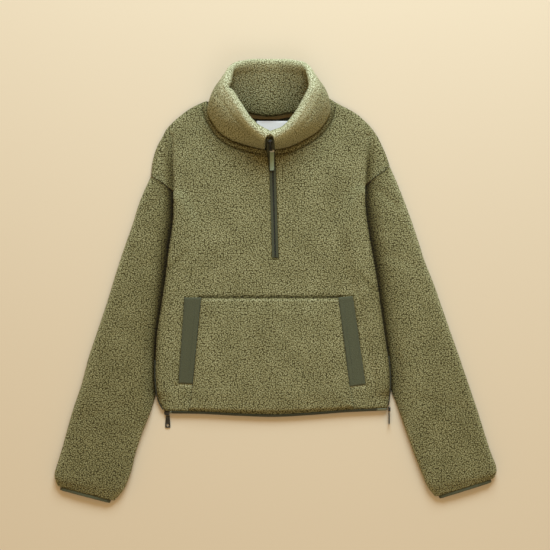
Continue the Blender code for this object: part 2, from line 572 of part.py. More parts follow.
def collar_stations(count):
    """Base and rim centres round the collar, on smooth curves through the table's stations."""
    necks = {"left": NECK_LEFT, "right": NECK_RIGHT, "back": NECK_BACK}
    marks = []
    for row in COLLAR:
        line = curve_through(necks[row.neck], 0, [row.share, min(row.share + 0.01, 1.0),
                                                  max(row.share - 0.01, 0.0)])
        tangent = (line[1] - line[2]) / np.linalg.norm(line[1] - line[2])
        inward = np.array([-tangent[1], tangent[0]])
        inward *= np.sign((np.array(NECK_MIDDLE) - line[0]) @ inward)
        base = line[0] + row.offset * inward
        if row.share == 1.0:
            base[0] = row.rim_x + math.copysign(COLLAR_END_LEAN, row.rim_x - FRONT_MIDDLE_X)
        seat = float(back_inner(base[:1], base[1:])[0]) + COLLAR_SEAT + row.lift
        marks.append([*base, seat, row.rim_x, row.rim_y, row.rim_z, row.bulge])
    table = curve_through(marks, count)
    return table[:, 0:3], table[:, 3:6], table[:, 6]


def collar(material):
    """Folded band: outer face up, round the rim, inner face down, with a slot between layers."""
    seat, rim, bulge = collar_stations(COLLAR_COLUMNS)
    ring = np.gradient(0.5 * (seat + rim), axis=0)
    rise = rim - seat
    rise /= np.linalg.norm(rise, axis=1)[:, None]
    out = np.cross(ring, rise)
    out /= np.linalg.norm(out, axis=1)[:, None]
    away = 0.5 * (seat + rim)[:, :2] - np.array(NECK_MIDDLE)
    out *= np.sign((away * out[:, :2]).sum())
    base = seat + (0.5 * COLLAR_BASE_THICK * np.abs(out[:, 2]))[:, None] * np.array([0, 0, 1.0])
    outer, inner = [], []

    def band(share, turn):
        """Centre line at a share of the height; turn 0 faces out, 1 faces in."""
        centre = base + share * (rim - base) + (bulge * math.sin(math.pi * share))[:, None] * out
        angle = math.pi * turn
        way = math.cos(angle) * out + math.sin(angle) * rise
        thick = COLLAR_BASE_THICK + share * (COLLAR_RIM_THICK - COLLAR_BASE_THICK)
        outer.append(centre + 0.5 * thick * way)
        inner.append(centre + COLLAR_SLOT * way)

    for share in FACE_SHARES:
        band(share, 0.0)
    for turn in RIM_TURNS:
        band(1.0, turn)
    for share in FACE_SHARES[::-1]:
        band(share, 1.0)
    wall("collar", np.array(outer), np.array(inner), material)


def height_on(item):
    """A function of plan position that gives the height of a built piece's top face."""
    mesh = item.data
    tree = BVHTree.FromPolygons([vertex.co for vertex in mesh.vertices],
                                [face.vertices for face in mesh.polygons])

    def height(x, y):
        spots = zip(np.ravel(x) + CENTRE_SHIFT[0], np.ravel(y) + CENTRE_SHIFT[1])
        hits = [tree.ray_cast((px, py, 1.0), (0.0, 0.0, -1.0))[0] for px, py in spots]
        return np.array([hit.z for hit in hits]).reshape(np.shape(x))

    return height


def laid_strip(name, plan_grid, gap, thick, material):
    """A piece that lies on the front panel, its underside a small gap above the fleece."""
    x, y = plan_grid[..., 0], plan_grid[..., 1]
    under = height_on(bpy.data.objects["front_body"])(x, y) + gap
    wall(name, grid(x, y, under + thick), grid(x, y, under), material)


def pocket(material):
    """Patch panel between the trims and on down to the hem, thin along its sewn edges."""
    left = [PlanPoint(x + POCKET_GAP, y) for x, y in TRIM_LEFT[1:3]] + [POCKET_FOOT_LEFT]
    right = [PlanPoint(x - POCKET_GAP, y) for x, y in (TRIM_RIGHT[0], TRIM_RIGHT[3])]
    right.append(POCKET_FOOT_RIGHT)
    close = np.array(POCKET_STEPS)
    shares = np.concatenate([close, np.linspace(0.1, 0.9, 8), 1.0 - close[::-1]])
    start, end = polyline(left, shares), polyline(right, shares)
    across = shares[:, None]
    top_edge = start[0] + across * (end[0] - start[0])
    low_edge = start[-1] + across * (end[-1] - start[-1])
    low_edge[:, 1] -= POCKET_SAG * np.sin(math.pi * shares)
    flat = coons(top_edge, low_edge, start, end)
    edge = np.minimum(shares, 1.0 - shares)
    down_rate, across_rate, reach = POCKET_TAPER
    near = np.minimum(edge[:, None] * down_rate, edge[None, :] * across_rate)
    taper = rounded(near / reach)
    thick = POCKET_EDGE + (POCKET_THICK - POCKET_EDGE) * taper
    laid_strip("pocket_panel", flat, LAID_GAP, thick, material)


def polyline(points, shares):
    """Points at shares of a line of straight runs."""
    knots = np.array(points, dtype=float)
    along = np.concatenate([[0.0], np.cumsum(np.linalg.norm(np.diff(knots, axis=0), axis=1))])
    at = np.asarray(shares) * along[-1]
    return np.stack([np.interp(at, along, knots[:, 0]), np.interp(at, along, knots[:, 1])], -1)


def trim(name, corners, material):
    """Woven strip along a slanted pocket opening."""
    ring = np.array(corners)
    down = np.linspace(0.0, 1.0, 17)[:, None, None]
    across = np.linspace(0.0, 1.0, 4)[None, :, None]
    flat = ((1 - down) * ((1 - across) * ring[0] + across * ring[1])
            + down * ((1 - across) * ring[3] + across * ring[2]))
    laid_strip(name, flat, LAID_GAP, TRIM_THICK, material)


def hem_pieces(woven, pale):
    """Bound hem edges of the front and the back, and the pale zip tape ends beside them."""
    hem = HEM_LEFT[:-1] + [HEM_MIDDLE] + HEM_RIGHT[-2::-1]
    runs = (("hem_binding_front", 0.0340, 0.9500, 1, woven),
            ("hem_tab_right", 0.9515, 0.9950, 1, pale),
            ("hem_tab_left", 0.0270, 0.0330, 1, pale),
            ("hem_binding_back", 0.0300, 0.9950, -1, woven))
    for name, start, stop, side, material in runs:
        count = max(3, round(26 * (stop - start)))
        line = curve_through(hem, 0, np.linspace(start, stop, count))
        rows = [line + np.array([0.0, -SEAM_GAP]), line + np.array([0.0, -0.6 * HEM_BINDING]),
                line + np.array([0.0, -HEM_BINDING])]
        flat = np.array(rows)
        above = body_levels(line[:, 0], line[:, 1])
        thin = np.array([0.0006, 0.0010, 0.0026])[:, None]
        if side > 0:
            high = front_top(line[:, 0], line[:, 1]) - thin
            low = above.seam + HALF_GAP + 0.0 * thin
        else:
            high = above.seam - HALF_GAP + 0.0 * thin
            low = above.under + thin - 0.0006
        wall(name, grid(flat[..., 0], flat[..., 1], high), grid(flat[..., 0], flat[..., 1], low),
             material)


def zip_path(steps_below):
    """Top face of the zip from its lower end, over the neck seam and up the collar."""
    y = np.linspace(ZIP_END_Y + 0.0005, ZIP_NECK_Y, steps_below)
    body = np.stack([y, front_top(zip_x(y), y) - ZIP_SUNK], -1)
    rise = curve_through([body[-1]] + [tuple(point) for point in ZIP_RISE], 13)
    side = np.concatenate([body, rise[1:]])
    slope = np.gradient(side, axis=0)
    slope /= np.linalg.norm(slope, axis=1)[:, None]
    return side, np.stack([-slope[:, 1], slope[:, 0]], -1)


def zip_strip(name, left, right, thick, material):
    """A ribbon of the zip between two offsets from its centre line."""
    side, normal = zip_path(ZIP_ROWS)
    centre = zip_x(side[:, 0])
    across = np.array([left, right])[None, :]
    under = side - thick * normal
    outer = grid(centre[:, None] + across, side[:, :1], side[:, 1:])
    inner = grid(centre[:, None] + across, under[:, :1], under[:, 1:])
    wall(name, outer, inner, material)


def plate(name, centre, along, facing, size, taper, bevel, material):
    """A bevelled plate: width across X or the cross axis, length along, thickness facing."""
    shape = bmesh.new()
    bmesh.ops.create_cube(shape, size=1.0)
    along, facing = np.array(along, float), np.array(facing, float)
    along /= np.linalg.norm(along)
    facing -= facing @ along * along
    facing /= np.linalg.norm(facing)
    cross = np.cross(along, facing)
    for vertex in shape.verts:
        width = size[0] * (1.0 + taper * vertex.co.y)
        spot = (np.array(centre) + vertex.co.x * width * cross + vertex.co.y * size[1] * along
                + vertex.co.z * size[2] * facing)
        vertex.co = (spot + (*CENTRE_SHIFT, 0.0)).tolist()
    if bevel:
        bmesh.ops.bevel(shape, geom=shape.edges, offset=bevel, segments=2, affect="EDGES",
                        profile=0.5, clamp_overlap=True)
    face_outwards(shape)
    mesh = bpy.data.meshes.new(name)
    shape.to_mesh(mesh)
    shape.free()
    return place(name, mesh, material)


def front_zip(tape, chain, metal, coated):
    """Tapes, chain, slider on the collar, and the pull: a link down to a tab on the chest."""
    half = 0.5 * ZIP_WIDTH - SEAM_GAP
    inner = 0.5 * CHAIN_WIDTH + SEAM_GAP
    zip_strip("zip_tape_left", -half, -inner, TAPE_THICK, tape)
    zip_strip("zip_tape_right", inner, half, TAPE_THICK, tape)
    zip_strip("zip_chain", -0.5 * CHAIN_WIDTH, 0.5 * CHAIN_WIDTH, CHAIN_THICK, chain)
    side, _ = zip_path(ZIP_ROWS)
    rise = side[-8:]
    at_y = np.interp(SLIDER_Z, rise[:, 1], rise[:, 0])
    low_y = np.interp(SLIDER_Z - SLIDER_REACH, rise[:, 1], rise[:, 0])
    along = np.array([0.0, at_y - low_y, SLIDER_REACH])
    along /= np.linalg.norm(along)
    facing = np.array([0.0, -along[2], along[1]])
    centre = np.array([zip_x(at_y), at_y, SLIDER_Z])
    slider = centre + facing * (SLIDER_CLEAR + 0.5 * SLIDER_SIZE[2])
    plate("zip_slider", slider, along, facing, SLIDER_SIZE, 0.12, SLIDER_BEVEL, metal)
    hinge = (centre + facing * (SLIDER_CLEAR + SLIDER_SIZE[2] + PULL_CLEAR + 0.5 * LINK_SIZE[1])
             - along * LINK_DROP)
    foot = np.array([hinge[0] + LINK_SWAY, LINK_END.y, LINK_END.z])
    way = foot - hinge
    length = np.linalg.norm(way)
    plate("zip_pull_link", 0.5 * (hinge + foot), way, facing, (LINK_SIZE[0], length, LINK_SIZE[1]),
          -0.1, 0.0, metal)
    ends = np.array([LINK_END.y - TAB_DROP, LINK_END.y - TAB_DROP - TAB_LENGTH])
    tab_y = ends.mean()
    tab_x = float(zip_x(tab_y)) + TAB_SWAY
    height = height_on(bpy.data.objects["front_body"])
    rest = [height(zip_x(ends) + side, ends) for side in (-BESIDE_ZIP, BESIDE_ZIP)]
    tab_z = float(np.max(rest)) + TAB_CLEAR + 0.5 * TAB_THICK
    plate("zip_pull_tab", (tab_x, tab_y, tab_z), (0.0, 1.0, 0.0), (0.0, 0.0, 1.0),
          (TAB_WIDTH, TAB_LENGTH, TAB_THICK), 0.0, TAB_BEVEL, coated)


def side_zip(name, seam, start_y, sign, material):
    """Thin zip ribbon standing on the side seam over its lowest stretch."""
    line = curve_through(seam, 60)
    line = line[(line[:, 1] > start_y) & (line[:, 1] < start_y + SIDE_ZIP_LENGTH)][::2]
    slope = np.gradient(line, axis=0)
    slope /= np.linalg.norm(slope, axis=1)[:, None]
    out = np.stack([slope[:, 1], -slope[:, 0]], -1) * np.sign(sign)
    level = body_levels(line[:, 0], line[:, 1]).seam
    rise = np.array([-0.5, 0.5])[None, :] * SIDE_ZIP_WIDTH
    faces = []
    for distance in (SIDE_ZIP_CLEAR + SIDE_ZIP_THICK, SIDE_ZIP_CLEAR):
        spot = line + out * distance
        faces.append(grid(spot[:, :1], spot[:, 1:], level[:, None] + rise))
    wall(name, faces[0], faces[1], material)


def holed_pull(name, slider, size, drop, facing, material):
    """Flat tapered metal pull below a side slider, with a round hole near its free end."""
    start = np.array(slider) + drop - (0.0, 0.5 * size[1] + SIDE_PULL_GAP, 0.0)
    along, facing = np.array([0.0, -1.0, 0.0]), np.array(facing, float)
    cross = np.cross(along, facing)
    top, low = (0.5 * width for width in PULL_WIDTHS)
    shoulder, tip = PULL_SHOULDER * PULL_LENGTH, (1.0 - PULL_SHOULDER) * PULL_LENGTH
    arc = np.linspace(0.0, math.pi, 9)
    end = np.stack([low * np.cos(arc), shoulder + tip * np.sin(arc)], -1)
    ring = np.concatenate([[(-top, 0.0), (top, 0.0)], end])
    hole_at = np.array([0.0, PULL_HOLE_AT * PULL_LENGTH])
    way = ring - hole_at
    hole = hole_at + way / np.linalg.norm(way, axis=1)[:, None] * PULL_HOLE
    faces = []
    for height in (0.5 * PULL_THICK, -0.5 * PULL_THICK):
        both = np.stack([ring, hole], 0)
        faces.append(start + both[..., :1] * cross + both[..., 1:] * along + height * facing)
    wall(name, faces[0], faces[1], material, ring=True)


def side_hardware(metal):
    """Sliders and pulls at the hem ends of the side zips: one lies flat, one stands on edge."""
    for side, slider, size, drop, facing in (
            ("left", LEFT_SLIDER, LEFT_SLIDER_SIZE, LEFT_PULL_DROP, (0, 0, 1)),
            ("right", RIGHT_SLIDER, RIGHT_SLIDER_SIZE, RIGHT_PULL_DROP, (1, 0, 0))):
        plate("side_slider_" + side, slider, (0, 1, 0), facing, size, 0.1, SLIDER_BEVEL, metal)
        holed_pull("side_pull_" + side, slider, size, drop, facing, metal)


def label(material):
    """Blank sewn label on the back panel's inner face, under the back neck seam."""
    x, y = np.meshgrid(np.linspace(*LABEL_X, 7), np.linspace(*LABEL_Y, 4))
    under = back_inner(x, y) + LABEL_GAP
    wall("neck_label", grid(x, y, under + LABEL_THICK), grid(x, y, under), material)


def main():
    clear_scene()
    home = bpy.data.collections.new("zip_fleece")
    bpy.context.scene.collection.children.link(home)
    fleece = make_material("olive_fleece", (0.20, 0.19, 0.09), 0.95)
    woven = make_material("olive_woven", (0.09, 0.10, 0.05), 0.75)
    pale = make_material("pale_tape", (0.32, 0.36, 0.25), 0.8)
    chain = make_material("zip_chain", (0.03, 0.035, 0.02), 0.5)
    metal = make_material("gunmetal", (0.05, 0.05, 0.045), 0.35, 1.0)
    coated = make_material("coated_pull", (0.20, 0.22, 0.14), 0.45, 0.6)
    white = make_material("label_white", (0.75, 0.76, 0.72), 0.85)
    front_body(fleece)
    back_body(fleece)
    collar(fleece)
    for name, rows, seam, armhole in (("left", SLEEVE_LEFT, SIDE_LEFT, ARMHOLE_LEFT),
                                      ("right", SLEEVE_RIGHT, SIDE_RIGHT, ARMHOLE_RIGHT)):
        sleeve("sleeve_" + name, rows, seam, armhole, fleece)
        cuff_binding("cuff_binding_" + name, rows[-1], rows[-2], woven)
    pocket(fleece)
    trim("pocket_trim_left", TRIM_LEFT, woven)
    trim("pocket_trim_right", TRIM_RIGHT, woven)
    hem_pieces(woven, pale)
    front_zip(woven, chain, metal, coated)
    side_zip("side_zip_left", SIDE_LEFT, -0.2340, -1, woven)
    side_zip("side_zip_right", SIDE_RIGHT, -0.2270, 1, woven)
    side_hardware(metal)
    label(white)


main()
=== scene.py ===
"""Dresses the laid half-zip fleece: curly pile, woven edges, zips, pulls, blank label and stage.

Metres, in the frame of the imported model. Plan outlines are smooth curves through short tables
of points. Heights follow one rule: the back panel lies on the surface, the front panel lies on
it, and both round over to meet at the side and shoulder seams. The pile is real relief on
every fleece surface, with finer curl in the material.
"""
import functools
import math
from collections import namedtuple

import bpy
import numpy as np
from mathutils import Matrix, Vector


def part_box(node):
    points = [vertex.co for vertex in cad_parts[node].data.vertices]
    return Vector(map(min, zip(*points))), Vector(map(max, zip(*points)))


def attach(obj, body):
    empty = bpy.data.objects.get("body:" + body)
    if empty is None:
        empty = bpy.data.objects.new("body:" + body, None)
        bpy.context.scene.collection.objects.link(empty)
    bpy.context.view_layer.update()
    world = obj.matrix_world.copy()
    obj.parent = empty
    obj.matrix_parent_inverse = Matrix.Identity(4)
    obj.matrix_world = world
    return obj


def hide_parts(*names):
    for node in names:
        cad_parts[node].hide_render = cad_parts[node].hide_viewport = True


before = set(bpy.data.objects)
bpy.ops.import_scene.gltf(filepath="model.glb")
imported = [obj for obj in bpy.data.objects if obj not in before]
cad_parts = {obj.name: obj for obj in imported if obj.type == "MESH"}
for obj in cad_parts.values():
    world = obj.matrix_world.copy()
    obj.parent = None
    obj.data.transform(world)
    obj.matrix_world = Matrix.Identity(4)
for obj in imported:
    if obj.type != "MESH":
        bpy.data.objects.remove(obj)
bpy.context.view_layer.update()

bl_info = {
    "name": "Laid half-zip fleece",
    "version": (1, 0, 0),
    "blender": (4, 5, 0),
    "location": "View3D > Sidebar > Fleece",
    "description": "Builds the pile, cloth edges, zips and label of a laid half-zip fleece",
    "category": "Object",
}

# Sizes that the pieces share with the solids
FLEECE = 0.0050
SEAM_GAP = 0.0003
HALF_GAP = 0.00025
FLAT_GAP = 0.0006
CHEST_PUFF = 0.0045
SIDE_ROLL = 0.011
TUCK_LIFT = 0.0067
LIFT_REACH = 0.006
LIFT_RAMP = 0.025
ZIP_WIDTH = 0.0130
ZIP_END_Y = 0.0387
HEM_BINDING = 0.0045
CUFF_BINDING = 0.0066
BINDING_WALL = 0.0026
CUFF_HALF_HEIGHT = 0.0052
COLLAR_BASE_THICK = 0.0120
COLLAR_RIM_THICK = 0.0150
PLAN_SHIFT = np.array([0.0, 0.00654, 0.0])

PlanPoint = namedtuple("PlanPoint", "x y")


def plan(*pairs):
    return [PlanPoint(*pair) for pair in pairs]


# Outlines, from the hem upwards or from the outside inwards
SIDE_LEFT = plan((-0.2000, -0.2358), (-0.2090, -0.2187), (-0.2138, -0.1917), (-0.2149, -0.1449),
                 (-0.2124, -0.0999), (-0.2057, -0.0531), (-0.1982, -0.0045), (-0.1901, 0.0621),
                 (-0.1836, 0.1071), (-0.1829, 0.1377), (-0.1836, 0.1593))
SIDE_RIGHT = plan((0.2014, -0.2304), (0.2029, -0.2169), (0.2045, -0.1935), (0.2034, -0.1557),
                  (0.1969, -0.1089), (0.1888, -0.0531), (0.1800, 0.0081), (0.1706, 0.0621),
                  (0.1634, 0.1071), (0.1602, 0.1431), (0.1609, 0.1701))
ARMHOLE_LEFT = plan((-0.1836, 0.1593), (-0.1964, 0.1692), (-0.2077, 0.1773), (-0.2239, 0.1858))
ARMHOLE_RIGHT = plan((0.1609, 0.1701), (0.1796, 0.1852), (0.1924, 0.1940), (0.2047, 0.2038))
SHOULDER_LEFT = plan((-0.2239, 0.1858), (-0.2207, 0.2115), (-0.2135, 0.2367), (-0.2054, 0.2520),
                     (-0.1946, 0.2709), (-0.1829, 0.2835), (-0.1703, 0.2943), (-0.1559, 0.3051),
                     (-0.1397, 0.3141), (-0.1244, 0.3204))
SHOULDER_RIGHT = plan((0.2047, 0.2038), (0.1987, 0.2223), (0.1915, 0.2385), (0.1825, 0.2565),
                      (0.1726, 0.2709), (0.1618, 0.2826), (0.1501, 0.2934), (0.1339, 0.3042),
                      (0.1159, 0.3132), (0.0970, 0.3249))
NECK_LEFT = plan((-0.1244, 0.3204), (-0.1210, 0.3033), (-0.1127, 0.2842), (-0.0983, 0.2621),
                 (-0.0814, 0.2493), (-0.0623, 0.2414), (-0.0443, 0.2371), (-0.0157, 0.2320))
NECK_RIGHT = plan((0.0970, 0.3249), (0.0965, 0.3105), (0.0936, 0.2950), (0.0841, 0.2763),
                  (0.0673, 0.2594), (0.0486, 0.2482), (0.0295, 0.2389), (-0.0027, 0.2320))
NECK_BACK = plan((-0.1244, 0.3204), (-0.0821, 0.2997), (-0.0425, 0.2896), (-0.0101, 0.2871),
                 (0.0259, 0.2907), (0.0655, 0.3042), (0.0970, 0.3249))
HEM_LEFT = plan((-0.2000, -0.2358), (-0.1361, -0.2367), (-0.0641, -0.2403), (-0.0076, -0.2421))
HEM_RIGHT = plan((0.2014, -0.2304), (0.1249, -0.2340), (0.0619, -0.2388), (0.0054, -0.2421))
ZIP_LINE = plan((-0.0106, 0.2619), (-0.0092, 0.2320), (-0.0052, 0.1935), (-0.0005, 0.0387),
                (-0.0011, -0.2421))
TRIM_LEFT = plan((-0.1629, -0.0322), (-0.1336, -0.0322), (-0.1489, -0.1874), (-0.1739, -0.1863))
TRIM_RIGHT = plan((0.1127, -0.0322), (0.1381, -0.0296), (0.1610, -0.1881), (0.1330, -0.1919))
TRIMS = ((TRIM_LEFT, -1.0), (TRIM_RIGHT, 1.0))
CHEST = (0.0, 0.0)
NECK_MIDDLE = PlanPoint(-0.010, 0.262)

TuckRow = namedtuple("TuckRow", "y tuck lift")
TUCK_LEFT = [TuckRow(-0.222, 0.0, 0.0), TuckRow(-0.196, 0.002, 1.0), TuckRow(-0.145, 0.009, 1.0),
             TuckRow(-0.053, 0.018, 1.0), TuckRow(0.040, 0.024, 1.0), TuckRow(0.090, 0.024, 1.0),
             TuckRow(0.125, 0.013, 1.0), TuckRow(0.143, 0.003, 1.0), TuckRow(0.163, 0.0, 0.0)]
TUCK_RIGHT = [TuckRow(-0.215, 0.0, 0.0), TuckRow(-0.192, 0.002, 1.0), TuckRow(-0.150, 0.011, 1.0),
              TuckRow(-0.053, 0.018, 1.0), TuckRow(0.040, 0.024, 1.0), TuckRow(0.098, 0.024, 1.0),
              TuckRow(0.133, 0.013, 1.0), TuckRow(0.153, 0.003, 1.0), TuckRow(0.173, 0.0, 0.0)]

SleeveRow = namedtuple("SleeveRow", "outer_x outer_y inner_x inner_y crown")
SLEEVE_LEFT = [
    SleeveRow(-0.2239, 0.1849, -0.1840, 0.1585, 0.0140),
    SleeveRow(-0.2324, 0.1665, -0.1832, 0.1450, 0.0150),
    SleeveRow(-0.2423, 0.1431, -0.1720, 0.1250, 0.0150),
    SleeveRow(-0.2549, 0.1035, -0.1640, 0.0890, 0.0155),
    SleeveRow(-0.2700, 0.0603, -0.1700, 0.0450, 0.0160),
    SleeveRow(-0.2855, 0.0135, -0.1795, -0.0045, 0.0165),
    SleeveRow(-0.3008, -0.0369, -0.1895, -0.0531, 0.0165),
    SleeveRow(-0.3188, -0.0909, -0.2000, -0.1050, 0.0165),
    SleeveRow(-0.3350, -0.1395, -0.2078, -0.1500, 0.0165),
    SleeveRow(-0.3485, -0.1899, -0.2126, -0.1900, 0.0165),
    SleeveRow(-0.3638, -0.2349, -0.2215, -0.2290, 0.0165),
    SleeveRow(-0.3773, -0.2835, -0.2390, -0.2745, 0.0165),
    SleeveRow(-0.3893, -0.3249, -0.2525, -0.3160, 0.0170),
    SleeveRow(-0.3953, -0.3429, -0.2603, -0.3483, 0.0180),
    SleeveRow(-0.3956, -0.3560, -0.2722, -0.3760, 0.0175),
    SleeveRow(-0.3915, -0.3695, -0.2890, -0.3965, 0.0120),
]
SLEEVE_RIGHT = [
    SleeveRow(0.2047, 0.2029, 0.1613, 0.1693, 0.0140),
    SleeveRow(0.2122, 0.1863, 0.1606, 0.1550, 0.0150),
    SleeveRow(0.2212, 0.1647, 0.1500, 0.1330, 0.0150),
    SleeveRow(0.2365, 0.1251, 0.1430, 0.0980, 0.0155),
    SleeveRow(0.2527, 0.0783, 0.1500, 0.0580, 0.0160),
    SleeveRow(0.2671, 0.0333, 0.1585, 0.0130, 0.0165),
    SleeveRow(0.2842, -0.0099, 0.1680, -0.0300, 0.0165),
    SleeveRow(0.2986, -0.0513, 0.1765, -0.0720, 0.0165),
    SleeveRow(0.3130, -0.0927, 0.1850, -0.1150, 0.0165),
    SleeveRow(0.3283, -0.1359, 0.1950, -0.1570, 0.0165),
    SleeveRow(0.3436, -0.1809, 0.2062, -0.1950, 0.0165),
    SleeveRow(0.3589, -0.2259, 0.2200, -0.2310, 0.0165),
    SleeveRow(0.3733, -0.2709, 0.2360, -0.2770, 0.0165),
    SleeveRow(0.3859, -0.3105, 0.2500, -0.3160, 0.0170),
    SleeveRow(0.3953, -0.3357, 0.2635, -0.3501, 0.0180),
    SleeveRow(0.3958, -0.3450, 0.2718, -0.3700, 0.0175),
    SleeveRow(0.3922, -0.3555, 0.2858, -0.3890, 0.0120),
]
SLEEVE_ROLL = 0.012
TUCKED_THICK = 0.0061
INNER_ROLL = 0.007
SLEEVE_AIR = 0.0016

CollarRow = namedtuple("CollarRow", "neck share offset lift rim_x rim_y rim_z bulge")
COLLAR = [
    CollarRow("left", 1.00, 0.0072, 0.0, -0.0175, 0.2515, 0.0575, 0.0020),
    CollarRow("left", 0.80, 0.0072, 0.0, -0.0430, 0.2735, 0.0590, 0.0035),
    CollarRow("left", 0.58, 0.0070, 0.0, -0.0600, 0.2960, 0.0600, 0.0050),
    CollarRow("left", 0.36, 0.0068, 0.0, -0.0750, 0.3190, 0.0590, 0.0065),
    CollarRow("left", 0.15, 0.0066, 0.0, -0.0860, 0.3430, 0.0560, 0.0065),
    CollarRow("back", 0.11, -0.0060, 0.0010, -0.0800, 0.3670, 0.0480, 0.0050),
    CollarRow("back", 0.28, -0.0080, -0.0050, -0.0550, 0.3800, 0.0390, 0.0030),
    CollarRow("back", 0.50, -0.0066, -0.0050, -0.0101, 0.3825, 0.0350, 0.0020),
    CollarRow("back", 0.72, -0.0080, -0.0050, 0.0350, 0.3800, 0.0390, 0.0030),
    CollarRow("back", 0.89, -0.0060, 0.0010, 0.0590, 0.3670, 0.0480, 0.0050),
    CollarRow("right", 0.15, 0.0066, 0.0, 0.0655, 0.3430, 0.0560, 0.0065),
    CollarRow("right", 0.36, 0.0068, 0.0, 0.0530, 0.3110, 0.0590, 0.0065),
    CollarRow("right", 0.58, 0.0070, 0.0, 0.0350, 0.2820, 0.0600, 0.0050),
    CollarRow("right", 0.80, 0.0072, 0.0, 0.0180, 0.2640, 0.0590, 0.0035),
    CollarRow("right", 1.00, 0.0072, 0.0, -0.0030, 0.2515, 0.0575, 0.0020),
]
COLLAR_SEAT = 0.0009

SidePoint = namedtuple("SidePoint", "y z")
ZIP_RISE = [SidePoint(0.2290, 0.0135), SidePoint(0.2325, 0.0185), SidePoint(0.2352, 0.0270),
            SidePoint(0.2380, 0.0393), SidePoint(0.2428, 0.0543), SidePoint(0.2448, 0.0600)]
ZIP_NECK_Y = 0.2235
ZIP_SUNK = 0.0012

# Curl relief, and how the grids are divided
RELIEF_CELL = 0.0046       # width of a curl clump in the mesh
RELIEF_SWELL = 0.0125      # width of the slower unevenness under the clumps
SWELL_SHARE = 0.30
EDGE_STEPS = (0.0, 0.0004, 0.0011, 0.0021, 0.0035, 0.0052, 0.0072)
SLOT_STEPS = (0.0, 0.0009, 0.0022, 0.0040)
SLEEVE_STEPS = (0.0, 0.0006, 0.0016, 0.0032, 0.0052, 0.0078)
PANEL_COUNTS = (78, 176, 14, 42)      # cells across a half, rows at side, armhole and neck
BACK_COUNTS = (54, 126, 9, 30)
MIDDLE_CELLS = 7
SLEEVE_STATIONS, SLEEVE_TOP, SLEEVE_LOW = 262, 58, 22
COLLAR_STATIONS, COLLAR_FACE, COLLAR_TURN = 250, 25, 11
POCKET_CELLS, POCKET_ROWS = 118, 84
WELT_ROWS, WELT_CELLS = 84, 25
ZIP_STATIONS = 260

# Folds, grooves and rolls of the laid cloth; a crease has two plan ends, a depth and a width
SHOULDER_GROOVES = (((-0.1840, 0.1593, -0.1875, 0.2580), -1.0),
                    ((0.1620, 0.1701, 0.1680, 0.2580), 1.0))
GROOVE_DEPTH, GROOVE_WIDTH = 0.0042, 0.0034
NECK_GROOVE_AT, NECK_GROOVE_DEPTH, NECK_GROOVE_WIDTH = 0.0095, 0.0028, 0.0019
SLOT_ROLL, SLOT_DIP, SLOT_OVERHANG, SLOT_OVERHANG_REACH = 0.0045, 0.0009, 0.0010, 0.004
HEM_ROLL, HEM_DIP = 0.0060, 0.0016
SHOULDER_STEP = 0.0022
BodyCrease = namedtuple("BodyCrease", "x0 y0 x1 y1 depth width")
BODY_CREASES = (
    BodyCrease(0.118, -0.212, 0.143, -0.224, 0.0016, 0.0022),
    BodyCrease(0.126, -0.226, 0.150, -0.232, 0.0012, 0.0020),
    BodyCrease(-0.168, -0.205, -0.150, -0.216, 0.0009, 0.0026),
    BodyCrease(0.176, -0.020, 0.150, 0.012, 0.0010, 0.0050),
    BodyCrease(-0.190, 0.020, -0.160, 0.050, 0.0010, 0.0050),
)
SLEEVE_CREASES = (
    BodyCrease(-0.232, 0.120, -0.200, 0.150, 0.0016, 0.0070),
    BodyCrease(-0.268, 0.010, -0.215, 0.030, 0.0010, 0.0090),
    BodyCrease(-0.352, -0.250, -0.262, -0.225, 0.0010, 0.0090),
    BodyCrease(0.220, 0.130, 0.186, 0.158, 0.0016, 0.0070),
    BodyCrease(0.262, 0.020, 0.200, 0.042, 0.0010, 0.0090),
    BodyCrease(0.345, -0.235, 0.262, -0.215, 0.0010, 0.0090),
)
ARMHOLE_BLEND = 0.045
POCKET_TOP_Y, POCKET_MIDDLE_X, POCKET_HALF_SEAM = -0.0322, -0.009, 0.130
POCKET_SEAM_AT, POCKET_SEAM_DIP, POCKET_SEAM_WIDTH = 0.0012, 0.0021, 0.0014
POCKET_THICK, POCKET_EDGE, POCKET_CROWN = 0.0038, 0.0018, 0.0022
POCKET_WIDTH, POCKET_HEIGHT, POCKET_SAG = 0.280, 0.200, 0.0055
LAID_GAP = 0.0006
COLLAR_SLOT = 0.0005
COLLAR_CLOSE = 0.0068
COLLAR_END_LEAN = 0.001
COLLAR_END = 0.045
FLARE_LOW, FLARE_LOW_REACH, FLARE_SIDE = 0.0048, 0.24, 0.0030
RIM_SWELL, RIM_SWELL_REACH, RIM_DIP_AT, RIM_DIP_REACH = 0.0016, 0.009, 0.0155, 0.003
COLLAR_FOLD_AT, COLLAR_FOLD_DEPTH, COLLAR_FOLD_WIDTH = 0.245, 0.00525, 0.012
WELT_FOLD_AT = 0.0215
STITCH_LENGTH, STITCH_GAP, THREAD = 0.0027, 0.0007, 0.00038
STITCH = (0.5 * STITCH_LENGTH, THREAD, 0.00035)
CUFF_SHRINK = 0.06

